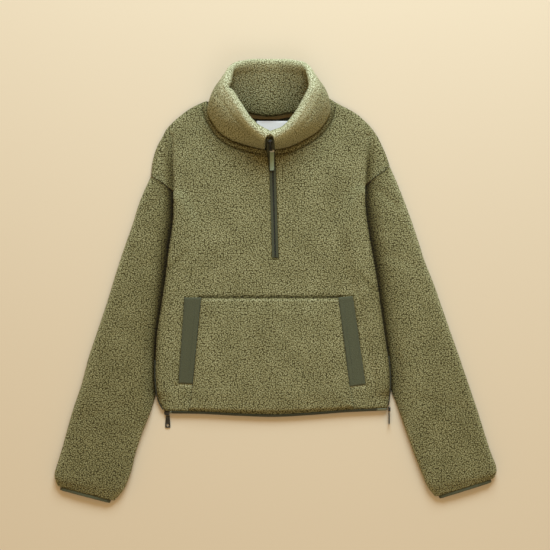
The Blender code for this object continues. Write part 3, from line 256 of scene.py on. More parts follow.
# Painted shade and painted highlights on the pile: paler or darker bands, how much, and how far
# from the seam or fold they reach
Band = namedtuple("Band", "depth reach")
SIDE_SHADE, LOW_SIDE_SHADE = Band(-0.40, 0.0040), Band(-0.16, 0.014)
NECK_SEAM_SHADE, NECK_SHADE = Band(0.50, 0.0032), Band(0.20, 0.030)
NECK_GROOVE_SHADE = Band(0.62, 0.0019)
ARMHOLE_SHADE, ARMHOLE_INNER_REACH = Band(-0.85, 0.0110), 0.0018
POCKET_SEAM_SHADE, SLOT_SHADE = Band(-0.95, 0.0018), Band(-0.75, 0.0013)
WELT_SIDE_SHADE, WELT_TOP_SHADE = Band(-0.80, 0.0014), Band(-0.80, 0.0015)
WELT_FOOT_LIGHT, HEM_SHADE = Band(0.45, 0.0026), Band(-0.35, 0.0035)
CREASE_SHADE = 260.0       # for each metre of a crease's depth
BACK_EDGE_SHADE, BACK_NECK_SHADE = Band(-0.35, 0.006), 1.25
# Painted shade on each sleeve, the left one darker than the right
SLEEVE_SIDE_SHADE = {"left": -0.12, "right": -0.04}
SLEEVE_VALLEY_SHADE, SLEEVE_VALLEY_REACH = 0.95, (0.0055, 0.0070)
SLEEVE_NEAR_SHADE, SLEEVE_EDGE_LIGHT = Band(-0.24, 0.028), Band(0.28, 0.007)
SLEEVE_SEAM_SHADE, CUFFWARD_SHADE = Band(-0.70, 0.0026), 0.14
# Painted highlight along the collar's rim, and painted light that makes its outer and inner faces
# paler
RIM_LIGHT, COLLAR_OUTER_LIGHT, COLLAR_INNER_LIGHT = Band(0.66, 0.0085), 0.32, 0.16
COLLAR_FOOT_SHADE, COLLAR_INNER_SHADE = Band(-0.55, 0.06), Band(-0.45, 0.30)
POCKET_TOP_LIGHT, POCKET_TOP_SHADE = Band(0.30, 0.0022), Band(-0.95, 0.0016)
POCKET_EDGE_SHADE = Band(-0.40, 0.0014)

# Front zip and its pull
TAPE_THICK = 0.0012
CHAIN_WIDTH = 0.0020
TOOTH_PITCH = 0.00128
TOOTH = (0.00042, 0.00085, 0.00075)
SLIDER_Z = 0.0525
SLIDER_SIZE = (0.0098, 0.0120, 0.0028)
SLIDER_PLATE, PLATE_EDGE = 0.0013, 0.0005
SLIDER_CLEAR = 0.0004
BAIL_REACH, BAIL_RISE = 0.0042, 0.0034
LINK_END = SidePoint(0.2300, 0.0185)
LINK_SIZE = (0.0072, 0.0016)
PULL_CLEAR = 0.0009
TAB_LENGTH, TAB_WIDTH, TAB_THICK, TAB_SQUARE = 0.0345, 0.0090, 0.0016, 0.22
CRIMP_SIZE = (0.0088, 0.0044, 0.0030)

# Side zips and their pulls
SIDE_ZIP_LENGTH = 0.090
SIDE_ZIP_WIDTH = 0.0044
SIDE_ZIP_THICK = 0.0012
SIDE_ZIP_GAP = 0.0004
SIDE_TOOTH = (0.00042, 0.00070, 0.00055)
SIDE_PULL_GAP = 0.00095
PULL_HOLE, PULL_HOLE_AT = 0.0023, 0.80
PULL_LENGTH, PULL_START, PULL_END, PULL_THICK = 0.0220, 0.0067, 0.0094, 0.0016
LEFT_SLIDER = np.array([-0.1953, -0.2402, 0.0029])
RIGHT_SLIDER = np.array([0.2042, -0.2330, 0.0052])
X_AXIS, Y_AXIS, Z_AXIS = np.eye(3)
PLAN_AXES = (X_AXIS, Y_AXIS, Z_AXIS)
SideZip = namedtuple("SideZip", "side seam start_y hand slider facing size pull_shift pull_height")
SIDE_ZIPS = (
    SideZip("left", SIDE_LEFT, -0.2340, -1.0, LEFT_SLIDER, Z_AXIS, (0.0096, 0.0072, 0.0044),
            0.0013, 0.0012),
    SideZip("right", SIDE_RIGHT, -0.2270, 1.0, RIGHT_SLIDER, X_AXIS, (0.0084, 0.0080, 0.0036),
            -0.0004, 0.0052))

# Blank label: its plan box, left, right, low and high
LABEL_BOX = (-0.034, 0.027, 0.2545, 0.2845)

# Stage
CAMERA_SPOT = (-0.0011, 0.0146)
WORLD_COLOUR, WORLD_STRENGTH = (1.0, 0.66, 0.29, 1.0), 0.61
LAMP_COLOUR = (0.75, 0.95, 1.15)
Lamp = namedtuple("Lamp", "name place size power")
LAMPS = (Lamp("window", (0.25, 2.35, 1.65), 1.7, 107.0),
         Lamp("bounce", (0.6, -1.9, 2.6), 2.0, 14.0))
FLOOR_REACH, FLOOR_TOP = 4.0, -0.0003


def unit(ways):
    """Vectors of length one."""
    return ways / np.linalg.norm(ways, axis=-1, keepdims=True)


def run_of(line):
    """Distance from a line's start to each of its points."""
    return np.concatenate([[0.0], np.cumsum(np.linalg.norm(np.diff(line, axis=0), axis=1))])


def bell(x, width):
    """Gaussian of height one, down to one over e at its width."""
    return np.exp(-(x / width) ** 2)


def band(kind, gap):
    return kind.depth * bell(gap, kind.reach)


def bent(wave, power):
    """Signed power of a sine or cosine: below one, a circle turns into a rounded square."""
    return np.sign(wave) * np.abs(wave) ** power


def grid(*parts):
    """Positions from their parts, each of which may be a number, a row or a whole array."""
    return np.stack(np.broadcast_arrays(*parts), -1)


def plan_of(points):
    return points[..., 0], points[..., 1]


def curve_through(points, count, spread=None):
    """Smooth curve: cubic pieces through the points, sampled evenly or at given shares."""
    knots = np.array(points, dtype=float)
    steps = np.linalg.norm(np.diff(knots, axis=0), axis=1)
    along = np.concatenate([[0.0], np.cumsum(steps)])
    slopes = np.gradient(knots, along, axis=0)
    shares = np.linspace(0.0, 1.0, count) if spread is None else np.asarray(spread)
    at = shares * along[-1]
    k = np.clip(np.searchsorted(along, at, side="right") - 1, 0, len(steps) - 1)
    h = steps[k][:, None]
    t = ((at - along[k]) / steps[k])[:, None]
    return ((2 * t**3 - 3 * t**2 + 1) * knots[k] + (t**3 - 2 * t**2 + t) * h * slopes[k]
            + (3 * t**2 - 2 * t**3) * knots[k + 1] + (t**3 - t**2) * h * slopes[k + 1])


def smooth(x):
    """Three x squared less two x cubed, held between zero and one."""
    x = np.clip(x, 0.0, 1.0)
    return x * x * (3.0 - 2.0 * x)


def hill(x, y, centre_x, centre_y, reach_x, reach_y):
    """A soft round hill of height one: a Gaussian in plan."""
    return np.exp(-((x - centre_x) / reach_x) ** 2 - ((y - centre_y) / reach_y) ** 2)


def rounded(share):
    """Quarter-circle profile: zero on the edge, one from the roll's radius inwards."""
    return np.sqrt(1.0 - (1.0 - np.clip(share, 0.0, 1.0)) ** 2)


def seam_distance(x, y, seam, inside):
    """Distance from plan points to the nearest of a seam's short chords, and its inward normal."""
    line = curve_through(seam, 60)
    start, step = line[:-1], np.diff(line, axis=0)
    normal = np.stack([-step[:, 1], step[:, 0]], -1) / np.linalg.norm(step, axis=1)[:, None]
    middle = 0.5 * (start + line[1:])
    normal *= np.sign(((np.array(inside) - middle) * normal).sum(-1))[:, None]
    best = np.full(x.shape, 9.0)
    side = np.zeros(x.shape)
    way = np.zeros(x.shape + (2,))
    for a, d, n in zip(start, step, normal):
        ox, oy = x - a[0], y - a[1]
        share = np.clip((ox * d[0] + oy * d[1]) / (d @ d), 0.0, 1.0)
        gx, gy = ox - share * d[0], oy - share * d[1]
        gap = np.hypot(gx, gy)
        nearer = gap < best
        best = np.where(nearer, gap, best)
        side = np.where(nearer, ox * n[0] + oy * n[1], side)
        way[nearer] = n
    return best, way, best * np.sign(side + 1e-9)


BodyLevels = namedtuple("BodyLevels", "under seam top edge inward")


def body_levels(x, y):
    """Underside, seam level and top of the laid body at plan points, and its rolled edges."""
    under = np.zeros_like(x)
    edge = np.full_like(x, 1.0)
    inward = np.zeros(x.shape + (2,))
    for side, shoulder, tucks in ((SIDE_LEFT, SHOULDER_LEFT, TUCK_LEFT),
                                  (SIDE_RIGHT, SHOULDER_RIGHT, TUCK_RIGHT)):
        side_gap, side_normal, _ = seam_distance(x, y, side, CHEST)
        top_gap, top_normal, _ = seam_distance(x, y, shoulder, CHEST)
        heights = [row.y for row in tucks]
        tuck = np.interp(y, heights, [row.tuck for row in tucks])
        lift = smooth(np.interp(y, heights, [row.lift for row in tucks]))
        under += TUCK_LIFT * lift * smooth((tuck + LIFT_REACH + LIFT_RAMP - side_gap) / LIFT_RAMP)
        edge = np.minimum(edge, np.minimum(side_gap, top_gap))
        for gap, normal in ((side_gap, side_normal), (top_gap, top_normal)):
            inward += normal * (FLEECE * np.clip(1.0 - gap / 0.04, 0.0, 1.0))[..., None]
    puff = (hill(x, y, -0.075, 0.200, 0.070, 0.085) + hill(x, y, 0.075, 0.205, 0.065, 0.085)
            + 0.55 * hill(x, y, -0.120, 0.060, 0.080, 0.060)
            + 0.55 * hill(x, y, 0.110, 0.065, 0.075, 0.060)
            + 0.50 * hill(x, y, 0.000, -0.120, 0.120, 0.070))
    air = FLAT_GAP + CHEST_PUFF * puff * smooth(edge / 0.05)
    seam = under + FLEECE + 0.5 * air
    return BodyLevels(under, seam, seam + FLEECE + 0.5 * air, edge, inward)


def coons(bottom, top, start, end):
    """Plan grid inside four edges: each pair of edges blended, less the corners' blend."""
    def shares(line):
        steps = np.linalg.norm(np.diff(line, axis=0), axis=1)
        return np.concatenate([[0.0], np.cumsum(steps)]) / steps.sum()

    u = (0.5 * (shares(bottom) + shares(top)))[None, :, None]
    v = (0.5 * (shares(start) + shares(end)))[:, None, None]
    corners = ((1 - u) * (1 - v) * bottom[0] + u * (1 - v) * bottom[-1]
               + (1 - u) * v * top[0] + u * v * top[-1])
    return ((1 - v) * bottom[None] + v * top[None] + (1 - u) * start[:, None]
            + u * end[:, None] - corners)


def line_length(points):
    return np.linalg.norm(np.diff(np.array(points, dtype=float), axis=0), axis=1).sum()


def polyline(points, shares):
    """Points at shares of a line of straight runs."""
    knots = np.array(points, dtype=float)
    along = run_of(knots)
    at = np.asarray(shares) * along[-1]
    return np.stack([np.interp(at, along, knots[:, 0]), np.interp(at, along, knots[:, 1])], -1)


def spread_from_edge(length, cells):
    """Shares of a line: close steps at its start, then even ones."""
    close = [step / length for step in EDGE_STEPS]
    even = np.linspace(close[-1], 1.0, cells + 1)[1:]
    return np.array(close + list(even))


def zip_x(y):
    rows = sorted((point.y, point.x) for point in ZIP_LINE)
    return np.interp(y, [row[0] for row in rows], [row[1] for row in rows])


def line_gap(x, y, ends):
    """Distance from plan points to a straight line between two plan points."""
    x0, y0, x1, y1 = ends
    along = np.clip(((x - x0) * (x1 - x0) + (y - y0) * (y1 - y0))
                    / ((x1 - x0) ** 2 + (y1 - y0) ** 2), 0.0, 1.0)
    return np.hypot(x - x0 - along * (x1 - x0), y - y0 - along * (y1 - y0))


def lattice_spots(cells, seed):
    """One seeded place in each cubic cell: whole-number cells mixed by products and shifts."""
    mixed = (cells[:, 0] * 374761393 + cells[:, 1] * 668265263 + cells[:, 2] * 1442695041
             + seed * 974634777) & 0xFFFFFFFF
    mixed = ((mixed ^ (mixed >> 13)) * 1274126177) & 0xFFFFFFFF
    mixed = mixed ^ (mixed >> 16)
    return np.stack([(mixed >> bits) & 1023 for bits in (0, 10, 20)], -1) / 1023.0


def clumps(points, cell, seed):
    """Round clumps: one less the squared distance to the nearest seeded spot of a lattice."""
    at = points.reshape(-1, 3) / cell
    home = np.floor(at).astype(np.int64)
    best = np.full(len(at), 4.0)
    for shift in np.ndindex(3, 3, 3):
        near = home + np.array(shift) - 1
        best = np.minimum(best, ((near + lattice_spots(near, seed) - at) ** 2).sum(-1))
    return (1.0 - np.minimum(best, 1.0)).reshape(points.shape[:-1])


def grid_normals(outer, inner, ring=False):
    """Unit cross products of the grid's two directions, turned away from the inner face."""
    if ring:
        wrapped = np.concatenate([outer[:, -1:], outer, outer[:, :1]], axis=1)
        across = wrapped[:, 2:] - wrapped[:, :-2]
    else:
        across = np.gradient(outer, axis=1)
    normal = np.cross(across, np.gradient(outer, axis=0))
    normal /= np.maximum(np.linalg.norm(normal, axis=-1), 1e-12)[..., None]
    return normal * np.sign(((outer - inner) * normal).sum(-1).mean())


def pile(outer, inner, weight, ring=False):
    """Outer face with curl: moved along its normals by clumps and a slower swell."""
    height = bpy.context.scene.fleece_sizes.pile_relief
    lift = (height * (clumps(outer, RELIEF_CELL, 3) - 0.62)
            + SWELL_SHARE * height * (clumps(outer, RELIEF_SWELL, 8) - 0.60))
    return outer + grid_normals(outer, inner, ring) * (lift * weight)[..., None]


def laid_map(face):
    """Flat map of a laid face, in metres: plan position and the extra length of its slopes."""
    spots = face[..., :2].copy()
    for axis in (0, 1):
        step = np.diff(face, axis=axis)
        extra = np.linalg.norm(step, axis=-1) - np.linalg.norm(step[..., :2], axis=-1)
        total = np.concatenate([np.zeros_like(extra.take([0], axis)),
                                np.cumsum(extra, axis)], axis)
        total -= total.take([total.shape[axis] // 2], axis)
        way = (face.take([-1], axis) - face.take([0], axis))[..., :2].mean((0, 1))
        spots += total[..., None] * way / np.linalg.norm(way)
    return spots


def shell(name, outer, inner, keep=None, ring=False, cloth=None, tone=None):
    """Closed wall between two grids; ring joins the last column to the first.

    Faces of both grids are whole-array index sums, and a rim face closes each open side. Cloth
    is an optional grid of positions along and across the cloth, kept as the piece's own map.
    """
    rows, columns = outer.shape[:2]
    across = columns if ring else columns - 1
    keep = np.ones((rows - 1, across), dtype=bool) if keep is None else keep
    shift = rows * columns
    r, c = np.nonzero(keep)
    d = (c + 1) % columns
    a, b, e, f = r * columns + c, r * columns + d, (r + 1) * columns + d, (r + 1) * columns + c
    faces = [np.stack([a, b, e, f], -1), np.stack([f, e, b, a], -1) + shift]
    kept = np.zeros((rows + 1, across + 2), dtype=bool)
    kept[1:-1, 1:-1] = keep
    if ring:
        kept[:, 0], kept[:, -1] = kept[:, -2], kept[:, 1]
    for (p, q), (up, over) in (((a, b), (0, 1)), ((b, e), (1, 2)), ((e, f), (2, 1)),
                               ((f, a), (1, 0))):
        rim = np.stack([q, p, p + shift, q + shift], -1)
        faces.append(rim[~kept[r + up, c + over]])
    faces = np.concatenate(faces)
    points = np.concatenate([outer.reshape(-1, 3), inner.reshape(-1, 3)]) + PLAN_SHIFT
    spots = None if cloth is None else np.concatenate([cloth.reshape(-1, 2)] * 2)
    # Tone, when given, is painted shade and painted highlights, the same on both faces.
    tones = None if tone is None else np.concatenate([tone.ravel()] * 2)
    return closed_mesh(name, points, faces, spots, tones)


def closed_mesh(name, points, faces, cloth=None, tone=None):
    """Mesh of the points that the faces use, its faces outwards by the sign of its volume."""
    used = np.zeros(len(points), dtype=bool)
    used[faces] = True
    number = np.cumsum(used) - 1
    corner = points[faces]
    turns = np.cross(corner[:, 0], corner[:, 1]) * corner[:, 2]
    if faces.shape[1] == 4:
        turns = turns + np.cross(corner[:, 0], corner[:, 2]) * corner[:, 3]
    if turns.sum() < 0.0:
        faces = faces[:, ::-1]
    mesh = bpy.data.meshes.new(name)
    mesh.from_pydata(points[used].tolist(), [], number[faces].tolist())
    if cloth is not None:
        layer = mesh.uv_layers.new(name="cloth")
        layer.data.foreach_set("uv", cloth[faces].astype(np.float32).ravel())
    # Tone is kept on the points as painted shade and painted highlights.
    if tone is not None:
        layer = mesh.attributes.new("painted_light_and_shade", "FLOAT", "POINT")
        layer.data.foreach_set("value", tone[used].astype(np.float32))
    mesh.shade_smooth()
    return mesh


def piece(mesh, material, nodes=(), body="garment"):
    """Object at the origin that rides on a body and stands for its solids."""
    item = bpy.data.objects.new(mesh.name, mesh)
    bpy.context.collection.objects.link(item)
    mesh.materials.append(material)
    if nodes:
        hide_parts(*nodes)
    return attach(item, body)


def spread_with_slot(length, cells):
    """Shares of a line: close steps at its start, even ones, and close ones at its end."""
    close = np.array(EDGE_STEPS) / length
    last = 1.0 - np.array(SLOT_STEPS[::-1]) / length
    even = np.linspace(close[-1], last[0], cells + 1)[1:-1]
    return np.concatenate([close, even, last])


def half_plan(side, armhole, shoulder, neck, hem, slot_side, counts):
    """Plan grid of one half: hem below, shoulder above, side and armhole, zip slot and neck."""
    cells, side_rows, armhole_rows, neck_rows = counts
    hem_line = curve_through(hem, 0, spread_with_slot(line_length(hem), cells))
    top_line = curve_through(shoulder, 0, spread_with_slot(line_length(shoulder), cells))
    side_run = curve_through(side, side_rows + 1)
    hole_shares = 1.0 - spread_from_edge(line_length(armhole), armhole_rows)[::-1]
    start_line = np.concatenate([side_run, curve_through(armhole, 0, hole_shares)[1:]])
    neck_shares = 1.0 - spread_from_edge(line_length(neck), neck_rows)[::-1]
    neck_line = curve_through(neck[::-1], 0, neck_shares)
    centre_y = np.linspace(hem_line[-1][1], neck_line[0][1],
                           len(start_line) - len(neck_line) + 1)
    centre_y[np.abs(centre_y - ZIP_END_Y).argmin()] = ZIP_END_Y
    centre_line = np.stack([zip_x(centre_y) + slot_side * 0.5 * ZIP_WIDTH, centre_y], -1)
    end_line = np.concatenate([centre_line[:-1], neck_line])
    hem_line[-1] = end_line[0]
    return coons(hem_line, top_line, start_line, end_line)


def panel_halves(counts):
    """Plan grids of the left and right halves, and the row where the neckline begins."""
    left = half_plan(SIDE_LEFT, ARMHOLE_LEFT, SHOULDER_LEFT, NECK_LEFT, HEM_LEFT, -1, counts)
    right = half_plan(SIDE_RIGHT, ARMHOLE_RIGHT, SHOULDER_RIGHT, NECK_RIGHT, HEM_RIGHT, 1, counts)
    return left, right[:, ::-1], left.shape[0] - len(EDGE_STEPS) - counts[3]


def neck_gap(x, y):
    """Distance from plan points to the nearer side of the neckline."""
    left = seam_distance(x, y, NECK_LEFT, CHEST)[0]
    return np.minimum(left, seam_distance(x, y, NECK_RIGHT, CHEST)[0])


def slot_gap(x, y):
    """Distance from plan points to the edge of the zip's slot, negative inside it."""
    return np.where(y > ZIP_END_Y - 0.004, np.abs(x - zip_x(y)) - 0.5 * ZIP_WIDTH, 1.0)


def pocket_seam_gap(x, y):
    """Height of plan points above the pocket's top seam."""
    return np.where(np.abs(x - POCKET_MIDDLE_X) < POCKET_HALF_SEAM, y - POCKET_TOP_Y, 1.0)


def outside_groove(x, y, groove, hand):
    """Distance of plan points beyond a shoulder groove, away from the chest."""
    x0, y0, x1, y1 = groove
    return hand * (x - np.interp(y, (y0, y1), (x0, x1)))


def outside_welt(x, y, corners, hand):
    """Distance of plan points beyond a welt's outer edge, with that edge's ends."""
    first, last = (corners[0], corners[3]) if hand < 0.0 else (corners[1], corners[2])
    return hand * (x - np.interp(y, (last.y, first.y), (last.x, first.x))), first, last


def plain_top(x, y):
    """Front panel's top without fine folds: seam level plus the cloth, rolled at its edges."""
    level = body_levels(x, y)
    rise = (level.top - level.seam - HALF_GAP) * rounded(level.edge / SIDE_ROLL)
    top = level.seam + HALF_GAP + rise
    for groove, _ in SHOULDER_GROOVES:
        depth = GROOVE_DEPTH * bell(line_gap(x, y, groove), GROOVE_WIDTH)
        top = top - depth * smooth(level.edge / 0.012)
    return top


def front_top(x, y):
    """Plain top, less the neck's stitched groove and the creases, rolled at slot and hem."""
    top = plain_top(x, y)
    top = top - NECK_GROOVE_DEPTH * bell(neck_gap(x, y) - NECK_GROOVE_AT, NECK_GROOVE_WIDTH)
    for fold in BODY_CREASES:
        gap = line_gap(x, y, fold[:4])
        top = top - fold.depth * (bell(gap, fold.width) - 0.5 * bell(gap, 2.5 * fold.width))
    for groove, hand in SHOULDER_GROOVES:
        along = smooth((y - groove[1] + 0.012) / 0.02) * smooth((groove[3] - y) / 0.05)
        step = smooth((outside_groove(x, y, groove, hand) + 0.002) / 0.006)
        top = top - SHOULDER_STEP * step * along
    seam = pocket_seam_gap(x, y) - POCKET_SEAM_AT
    top = top - POCKET_SEAM_DIP * bell(seam, POCKET_SEAM_WIDTH)
    for corners, hand in TRIMS:
        beyond, first, last = outside_welt(x, y, corners, hand)
        along = smooth((y - last.y + 0.006) / 0.012) * smooth((first.y - y + 0.006) / 0.012)
        top = top + 0.0019 * bell(beyond - 0.0052, 0.0040) * along
    top = top - SLOT_DIP * (1.0 - rounded(np.maximum(slot_gap(x, y), 0.0) / SLOT_ROLL))
    return top - HEM_DIP * (1.0 - rounded(hem_gap(x, y) / HEM_ROLL))


def hem_gap(x, y):
    """Height of plan points above the hem line."""
    line = np.array(HEM_LEFT + HEM_RIGHT[::-1])
    return np.maximum(y - np.interp(x, line[:, 0], line[:, 1]), 0.0)


def pocket_cover(x, y):
    """One under the pocket and its welts, falling to zero over a few millimetres outside."""
    low, high = -0.234, -0.0315
    share = np.clip((high - y) / (high - low), 0.0, 1.0)
    left = TRIM_LEFT[0].x + share * (TRIM_LEFT[3].x - TRIM_LEFT[0].x)
    right = TRIM_RIGHT[1].x + share * (TRIM_RIGHT[2].x - TRIM_RIGHT[1].x)
    under_trim = y > TRIM_LEFT[2].y - 0.002
    left = np.where(under_trim, left, -0.1535)
    right = np.where(under_trim, right, 0.1385)
    inside = np.minimum(np.minimum(x - left, right - x), high - y)
    return smooth((inside + 0.003) / 0.004)


def front_painted_shade(x, y, edge):
    """Painted shade and painted highlights on the front: bands that darken seams, folds and rolled
    edges, paler below the welts.
    """
    neck = neck_gap(x, y)
    low_sides = smooth((0.165 - y) / 0.02) * smooth((y + 0.225) / 0.03)
    tone = band(SIDE_SHADE, edge) * low_sides
    tone += band(LOW_SIDE_SHADE, edge) * smooth((0.05 - y) / 0.10)
    seams = (band(NECK_SEAM_SHADE, neck) + band(NECK_SHADE, neck)
             + band(NECK_GROOVE_SHADE, neck - NECK_GROOVE_AT))
    tone -= seams * (0.15 + 0.85 * smooth(edge / 0.016))
    for groove, hand in SHOULDER_GROOVES:
        outside = outside_groove(x, y, groove, hand)
        reach = np.where(outside > 0.0, ARMHOLE_SHADE.reach, ARMHOLE_INNER_REACH)
        along = (smooth((y - groove[1] + 0.004) / 0.01)
                 * smooth((groove[3] + 0.012 - y) / 0.075))
        tone += ARMHOLE_SHADE.depth * bell(outside, reach) * along
    tone += band(POCKET_SEAM_SHADE, pocket_seam_gap(x, y) - POCKET_SEAM_AT)
    tone += band(SLOT_SHADE, np.maximum(slot_gap(x, y), 0.0))
    for corners, hand in TRIMS:
        beyond, first, last = outside_welt(x, y, corners, hand)
        along = smooth((y - last.y + 0.003) / 0.004) * smooth((first.y - y + 0.003) / 0.004)
        within = smooth((0.0150 - np.abs(beyond + 0.0145)) / 0.002)
        tone += band(WELT_SIDE_SHADE, beyond) * along
        tone += band(WELT_TOP_SHADE, y - first.y - 0.0006) * within
        tone += band(WELT_FOOT_LIGHT, y - last.y + 0.0040) * within
    tone += band(HEM_SHADE, hem_gap(x, y))
    for fold in BODY_CREASES:
        tone -= CREASE_SHADE * fold.depth * bell(line_gap(x, y, fold[:4]), fold.width)
    return tone


def front_panel():
    """Front: outer face rounds down to the seams, curls above; the slot holds the zip."""
    left, right, _ = panel_halves(PANEL_COUNTS)
    flat, half = np.concatenate([left, right], axis=1), left.shape[1]
    x, y = plan_of(flat)
    inner_xy = flat + body_levels(x, y).inward
    level = body_levels(*plan_of(inner_xy))
    inner_z = level.seam + np.maximum(0.5 * (level.top - level.seam - FLEECE), HALF_GAP)
    outer, inner = grid(x, y, front_top(x, y)), grid(*plan_of(inner_xy), inner_z)
    slot = slot_gap(x, y)
    over = SLOT_OVERHANG * bell(np.maximum(slot, 0.0), SLOT_OVERHANG_REACH)
    outer[..., 0] -= np.sign(x - zip_x(y)) * over
    tab = np.maximum(np.abs(x - zip_x(y)) - 0.008, np.abs(y - 0.212) - 0.020)
    weight = ((1.0 - pocket_cover(x, y)) * (0.25 + 0.75 * smooth(slot / 0.005))
              * smooth((neck_gap(x, y) + 0.004) / 0.012) * (0.3 + 0.7 * smooth(tab / 0.006))
              * (0.3 + 0.7 * smooth(hem_gap(x, y) / 0.006)))
    keep = np.ones((flat.shape[0] - 1, flat.shape[1] - 1), dtype=bool)
    keep[:, half - 1] = y[:-1, half - 1] < ZIP_END_Y - 0.001
    return shell("front_panel", pile(outer, inner, weight), inner, keep,
                 cloth=laid_map(outer), tone=front_painted_shade(x, y, body_levels(x, y).edge))


def back_inner(x, y):
    """Height of the back panel's inner face."""
    level = body_levels(x, y)
    return level.seam - np.maximum(0.5 * (level.top - level.seam - FLEECE), HALF_GAP)


def back_panel():
    """Back: two halves and a middle that runs on up to the back neckline; curls inside."""
    left, right, neck_row = panel_halves(BACK_COUNTS)
    share = np.linspace(0.0, 1.0, MIDDLE_CELLS + 1)[:, None]
    below = left[:neck_row + 1, -1:] + share * (right[:neck_row + 1, :1] - left[:neck_row + 1, -1:])
    above = coons(below[-1], curve_through(NECK_BACK, MIDDLE_CELLS + 1),
                  left[neck_row:, -1], right[neck_row:, 0])
    middle = np.concatenate([below, above[1:]])
    flat = np.concatenate([left[:, :-1], middle, right[:, 1:]], axis=1)
    x, y = plan_of(flat)
    level = body_levels(x, y)
    inner_x, inner_y = plan_of(flat + level.inward)
    inner = grid(inner_x, inner_y, back_inner(inner_x, inner_y))
    drop = (level.seam - HALF_GAP - level.under) * rounded(level.edge / SIDE_ROLL)
    outer = grid(x, y, level.seam - HALF_GAP - drop)
    weight = 1.0 - smooth((level.edge - 0.001) / 0.007)
    outer = pile(outer, inner, weight)
    outer[..., 2] = np.maximum(outer[..., 2], 0.0)
    # Painted shade along the rolled edges and up inside the back neck.
    tone = band(BACK_EDGE_SHADE, level.edge) - BACK_NECK_SHADE * smooth((y - 0.235) / 0.03)
    return shell("back_panel", outer, inner, cloth=laid_map(outer), tone=tone)


def sleeve_crown(x, y, crown, seam):
    """Height of the sleeve's top: its crown in the open, pressed thin under the body."""
    tucked = seam_distance(x, y, seam, CHEST)[2]
    return TUCKED_THICK + (crown - TUCKED_THICK) * smooth((-tucked - 0.0035) / 0.026), tucked


def edge_shares(length, columns):
    """Shares of a section with close steps at both edges and even ones between."""
    near = np.array(SLEEVE_STEPS) / length
    middle = np.linspace(near[-1], 1.0 - near[-1], columns - 2 * len(near) + 2)[1:-1]
    return np.concatenate([near, middle, 1.0 - near[::-1]])


def sleeve(side, rows, seam, armhole):
    """Flattened tube: each section rises by half its crown times a quarter-circle profile."""
    table = curve_through([tuple(row) for row in rows], SLEEVE_STATIONS)
    start, end, crown = table[:, None, 0:2], table[:, None, 2:4], table[:, None, 4]
    middle = 0.5 * (start + end)[:, 0]
    along = run_of(middle)
    bend = (1.0 - smooth(along / ARMHOLE_BLEND))[:, None, None]
    length = np.linalg.norm(end - start, axis=-1)
    # Painted shade along the sleeve: by side, darker towards the cuff and at the armhole seam.
    lengthwise = SLEEVE_SIDE_SHADE[side] - CUFFWARD_SHADE * smooth(along / along[-1] * 1.25 - 0.25)
    lengthwise = lengthwise + band(SLEEVE_SEAM_SHADE, along)
    faces = []
    for columns, up in ((SLEEVE_TOP, 1.0), (SLEEVE_LOW, -1.0)):
        share = edge_shares(length.mean(), columns)
        seamed = curve_through(armhole[::-1], 0, share)
        straight = seamed[0] + share[:, None] * (seamed[-1] - seamed[0])
        line = start + share[None, :, None] * (end - start) + bend * (seamed - straight)[None]
        line[..., 1] -= 1.5 * SEAM_GAP * bend[..., 0]
        x, y = plan_of(line)
        edge = np.minimum(share, 1.0 - share)[None] * length
        inside = FLEECE / length + share[None] * (1.0 - 2.0 * FLEECE / length)
        cloth = start + inside[..., None] * (end - start)
        high, tucked = sleeve_crown(x, y, crown, seam)
        inner_high, _ = sleeve_crown(*plan_of(cloth), crown, seam)
        rise = 0.5 * high * rounded(edge / SLEEVE_ROLL)
        if up > 0.0:
            for fold in SLEEVE_CREASES:
                gap = line_gap(x, y, fold[:4])
                rise = rise - fold.depth * bell(gap, fold.width) * smooth(edge / 0.01)
        inner_rise = (np.clip(0.5 * inner_high - FLEECE, HALF_GAP, SLEEVE_AIR)
                      * rounded(edge / INNER_ROLL))
        outer = grid(x, y, 0.5 * high + up * rise)
        inner = grid(*plan_of(cloth), 0.5 * inner_high + up * inner_rise)
        weight = smooth((-tucked + 0.002) / 0.006)
        if up < 0.0:
            weight = weight * (1.0 - smooth((edge - 0.001) / 0.007))
        reach = SLEEVE_VALLEY_REACH[0] + SLEEVE_VALLEY_REACH[1] * smooth((y + 0.17) / 0.20)
        # Painted shade beside and under the body's edge, painted highlight on the open outer edge.
        tone = (lengthwise[:, None] + band(SLEEVE_NEAR_SHADE, tucked)
                - SLEEVE_VALLEY_SHADE * bell(np.minimum(tucked + 0.001, 0.0), reach)
                + band(SLEEVE_EDGE_LIGHT, edge) * smooth((-tucked - 0.012) / 0.02))
        faces.append((outer, inner, weight, tone, laid_map(outer)))
    ring = [np.concatenate([top, low[:, -2:0:-1]], axis=1) for top, low in zip(*faces)]
    outer = pile(ring[0], ring[1], ring[2], ring=True)
    outer[..., 2] = np.maximum(outer[..., 2], 0.0)
    return shell("sleeve_" + side + "_pile", outer, ring[1], ring=True,
                 cloth=ring[4], tone=ring[3])


def collar_stations(count):
    """Base and rim centres round the collar, on smooth curves through the table's stations."""
    necks = {"left": NECK_LEFT, "right": NECK_RIGHT, "back": NECK_BACK}
    marks = []
    for row in COLLAR:
        line = curve_through(necks[row.neck], 0, [row.share, min(row.share + 0.01, 1.0),
                                                  max(row.share - 0.01, 0.0)])
        tangent = unit(line[1] - line[2])
        inward = np.array([-tangent[1], tangent[0]])
        inward *= np.sign((np.array(NECK_MIDDLE) - line[0]) @ inward)
        base = line[0] + row.offset * inward
        if row.share == 1.0:
            base[0] = row.rim_x + math.copysign(COLLAR_END_LEAN, row.rim_x + 0.010)
        seat = float(back_inner(base[:1], base[1:])[0]) + COLLAR_SEAT + row.lift
        marks.append([*base, seat, row.rim_x, row.rim_y, row.rim_z, row.bulge])
    table = curve_through(marks, count)
    return table[:, 0:3], table[:, 3:6], table[:, 6]


